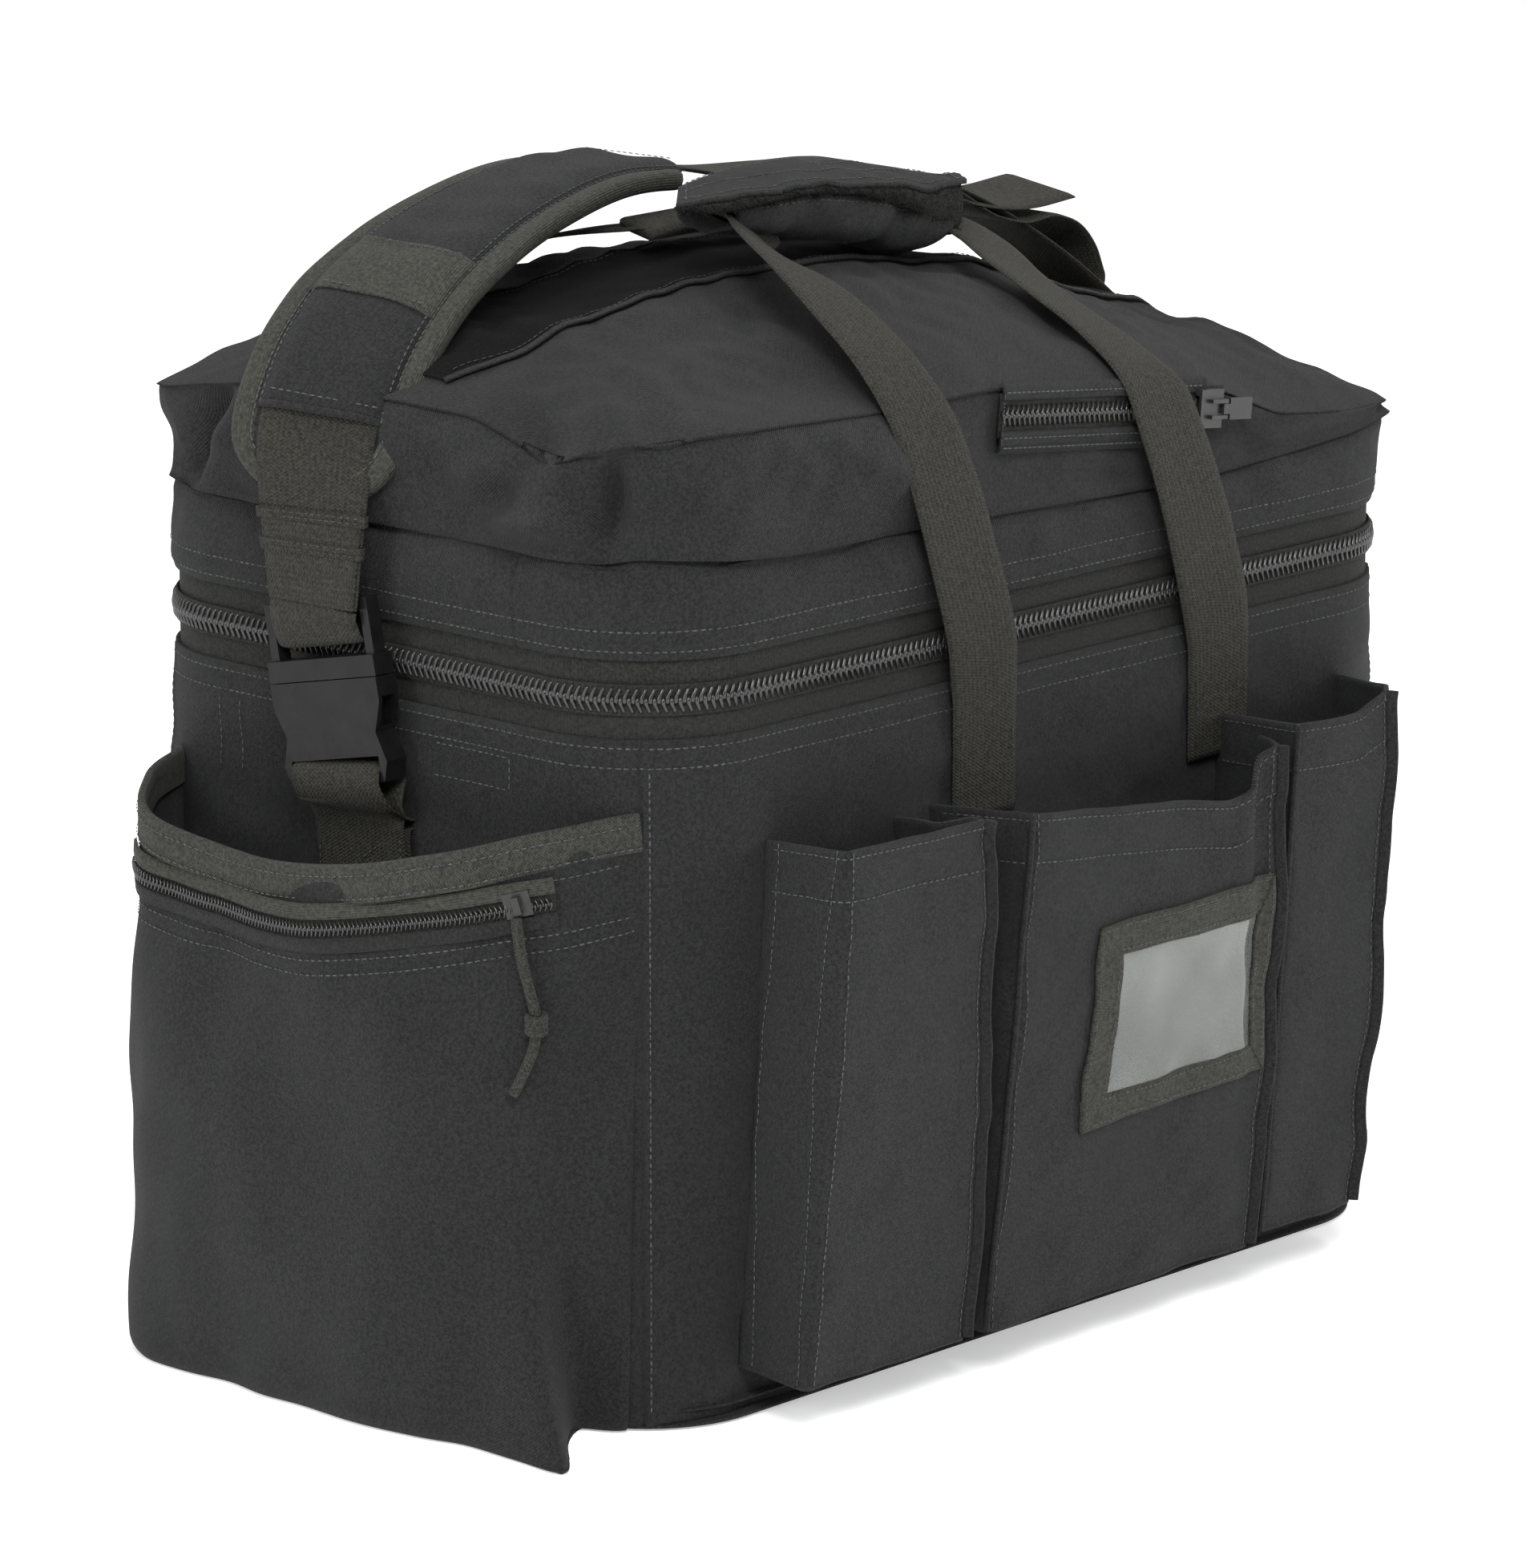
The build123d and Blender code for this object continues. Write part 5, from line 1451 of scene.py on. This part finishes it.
# Binding: its line runs round the pad's edge, and inward points from there to the pad's middle.
edge_runs = np.concatenate([runs, runs[::-1]])
edge_v = np.concatenate([half, -half[::-1]])
keep = np.concatenate([[True], np.hypot(np.diff(edge_runs), np.diff(edge_v)) > 0.4])
edge_runs, edge_v = (np.append(line[keep], line[0]) for line in (edge_runs, edge_v))
edge = over.place(edge_runs, edge_v * 0.985, PAD_MIDDLE)
out_dir = over.at(over.out, edge_runs)
inward = norm(np.cross(out_dir, norm(np.gradient(edge, axis=0))))
centres = over.place(np.clip(edge_runs, PAD_FROM + PAD_ROUND, PAD_TO - PAD_ROUND), 0, PAD_MIDDLE)
inward *= np.sign(((centres - edge) * inward).sum(1, keepdims=True))
profile = [(9.5, 2.9), (9.3, 3.6), (5.0, 4.2), (0.5, 4.0), (-1.2, 2.4), (-1.6, 0), (-1.2, -2.4),
           (0.5, -4.0), (5.0, -4.2), (9.3, -3.6), (9.5, -2.9)]
band = np.stack([edge + inward * a + out_dir * b for a, b in profile], 1)
sheet("pad_binding", band, BINDING, "shoulder_strap", "binding")
rows = [(edge + inward * 7.8 + out_dir * 4.1, out_dir)]
stitches("pad_binding_stitching", rows, THREAD, "shoulder_strap", seed=15)

SLEEVE_FROM = float(np.interp(397, strap_line[:60, 2], over.run[:60]))
SLEEVE_TO = PAD_TO - 8


def laid_band(name, start, end, half_width, low, high, material, count, thick, slot, *nodes):
    """Band laid over the webbing, low at its edges and high in its middle, a little slack."""
    runs = np.linspace(start, end, count)
    across = np.linspace(-1, 1, 25)
    out = low + (high - low) * (1 - np.abs(across) ** 5)
    p = over.place(runs[:, None], across[None, :] * half_width, out[None, :])
    slack = 0.6 * wobble(p, 34, 63) * (1 - across**4)
    p = p + over.at(over.out, runs)[:, None] * slack[..., None]
    sheet(name, p, material, "shoulder_strap", slot, *nodes, thick=thick)


PATCH_LENGTH = 38
laid_band("pad_sleeve", SLEEVE_FROM, SLEEVE_TO, 27.5, -0.8, 3.6, FABRIC, 90, 1.2, "fabric_body",
          "pad_cover")
laid_band("pad_sleeve_hem", SLEEVE_FROM - 0.8, SLEEVE_FROM + 2.0, 27.7, -0.6, 4.2, FABRIC, 4, 1.0,
          "fabric_body")
PATCH_FROM = float(over.run[np.argmin(np.hypot(strap_line[:, 0] + 213, strap_line[:, 2] - 436))])
laid_band("pad_patch_cloth", PATCH_FROM, PATCH_FROM + PATCH_LENGTH, 28.2, -0.4, 4.8, BINDING, 24,
          0.9, "binding", "pad_patch")
rows = [over.row(v, 0.8 if abs(v) > 25 else 3.6, SLEEVE_FROM, SLEEVE_TO) for v in (-25.6, 25.6)]
rows += [over.crossing(run, 24, out) for run, out in (
    (SLEEVE_FROM + 6, 3.9), (PATCH_FROM + 2.5, 5.0), (PATCH_FROM + (PATCH_LENGTH - 2.5), 5.0),
    (SLEEVE_TO - 4, 3.9))]
stitches("pad_stitching", rows, THREAD, "shoulder_strap", seed=16)

# Free tail of the webbing beyond the pad.
tail_path = [(120, 58, 447), (140, 55, 438), (160, 50, 431), (182, 47, 428), (212, 44, 430)]
webbing("webbing_tail", tail_path, (0, 1, 0.1), 44.0, "shoulder_strap", thick=1.8, count=40)
tail_loop = [(150, 55, 434), (166, 50, 424), (182, 47, 420), (198, 45, 421), (213, 44, 415),
             (223, 43, 402), (224, 41, 389), (220, 39, 382)]
webbing("webbing_tail_loop", tail_loop, (0, 1, 0), 46.0, "shoulder_strap", thick=1.8, count=60)

# ---------------------------------------------------------------- hard parts from the frame
def dress(node, material, bevel=0.6, segments=2):
    """Give a CAD piece its material and slightly rounded edges."""
    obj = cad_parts[node]
    for place in obj.material_slots:
        place.material = material
    if bevel:
        soft = obj.modifiers.new("edges", "BEVEL")
        soft.width, soft.segments = bevel * MM, segments
        soft.limit_method, soft.angle_limit = "ANGLE", np.radians(40)


for side in ("left", "right"):
    dress(f"buckle_female_{side}", BUCKLE, 1.2, 3)
    dress(f"buckle_male_{side}", BUCKLE, 0.9, 3)
    for prong in ("front", "rear"):
        dress(f"buckle_prong_{side}_{prong}", BUCKLE, 0.6, 2)
for node in ("main_slider_front", "main_slider_rear", "main_pull_front", "main_pull_rear",
             "lid_slider", "lid_pull", "end_slider"):
    dress(node, METAL, 0.4, 2)

# ---------------------------------------------------------------- the pull cord and its knot
cord.data.materials.append(BRAID)
finish_piece(cord, "end_slider", "pull_cord", "end_pull_cord")
# The knot sits where the cord's own line passes its height.
KNOT_Z, COILS = 175, 3
line_data = nurbs("cord_line", CORD_POINTS, 0.0)
bpy.context.view_layer.update()
line_mesh = bpy.data.meshes.new_from_object(line_data.evaluated_get(
    bpy.context.evaluated_depsgraph_get()))
cord_line = np.array([v.co for v in line_mesh.vertices]) / MM
bpy.data.objects.remove(line_data)
bpy.data.meshes.remove(line_mesh)
knot_at = cord_line[np.argmin(np.abs(cord_line[:, 2] - KNOT_Z))]
turns = np.linspace(0, 2 * np.pi * COILS, 110)
spread = np.linspace(-3.6, 3.6, 110)
coil_line = np.stack([knot_at[0] + 3.4 * np.cos(turns), knot_at[1] + 3.2 * np.sin(turns),
                      knot_at[2] + spread + 0.8 * np.sin(turns)], 1)
knot, _, _, _ = ribbon_object("cord_knot", coil_line, (0, 0, 1), 3.6, 3.0, BRAID, count=120,
                              profile="round")
finish_piece(knot, "end_slider", "pull_cord", "end_pull_knot")

# ---------------------------------------------------------------- floor and light
bpy.ops.mesh.primitive_plane_add(size=30)
floor = bpy.context.object
floor.name = "floor"
pale = Graph("pale_floor")
pale.output(Base_Color=(0.90, 0.90, 0.905), Roughness=0.7, Emission_Color=(1.0, 1.0, 1.0),
            Emission_Strength=0.42)
floor.data.materials.append(pale.material)


def area(name, place, size, power, aim=(0, 0, 0.22)):
    """Soft rectangular light aimed at the bag."""
    data = bpy.data.lights.new(name, "AREA")
    data.shape, data.size, data.size_y, data.energy = "RECTANGLE", size[0], size[1], power
    light = bpy.data.objects.new(name, data)
    light.location = place
    way = Vector(aim) - Vector(place)
    light.rotation_euler = way.to_track_quat("-Z", "Y").to_euler()
    bpy.context.scene.collection.objects.link(light)


for light in (("key_light", (-1.9, -2.2, 2.7), (1.3, 1.3), 120),
              ("top_light", (0.2, 0.3, 2.8), (2.0, 1.4), 50),
              ("right_light", (2.2, -2.3, 0.9), (1.2, 1.4), 40),
              ("left_light", (-2.8, 0.3, 1.3), (1.4, 1.4), 42)):
    area(*light)
world = bpy.data.worlds.new("world")
world.use_nodes = True
sky = world.node_tree.nodes["Background"].inputs
sky["Color"].default_value, sky["Strength"].default_value = (1, 1, 1, 1), 0.5
bpy.context.scene.world = world
bpy.context.scene.view_settings.view_transform = "Standard"
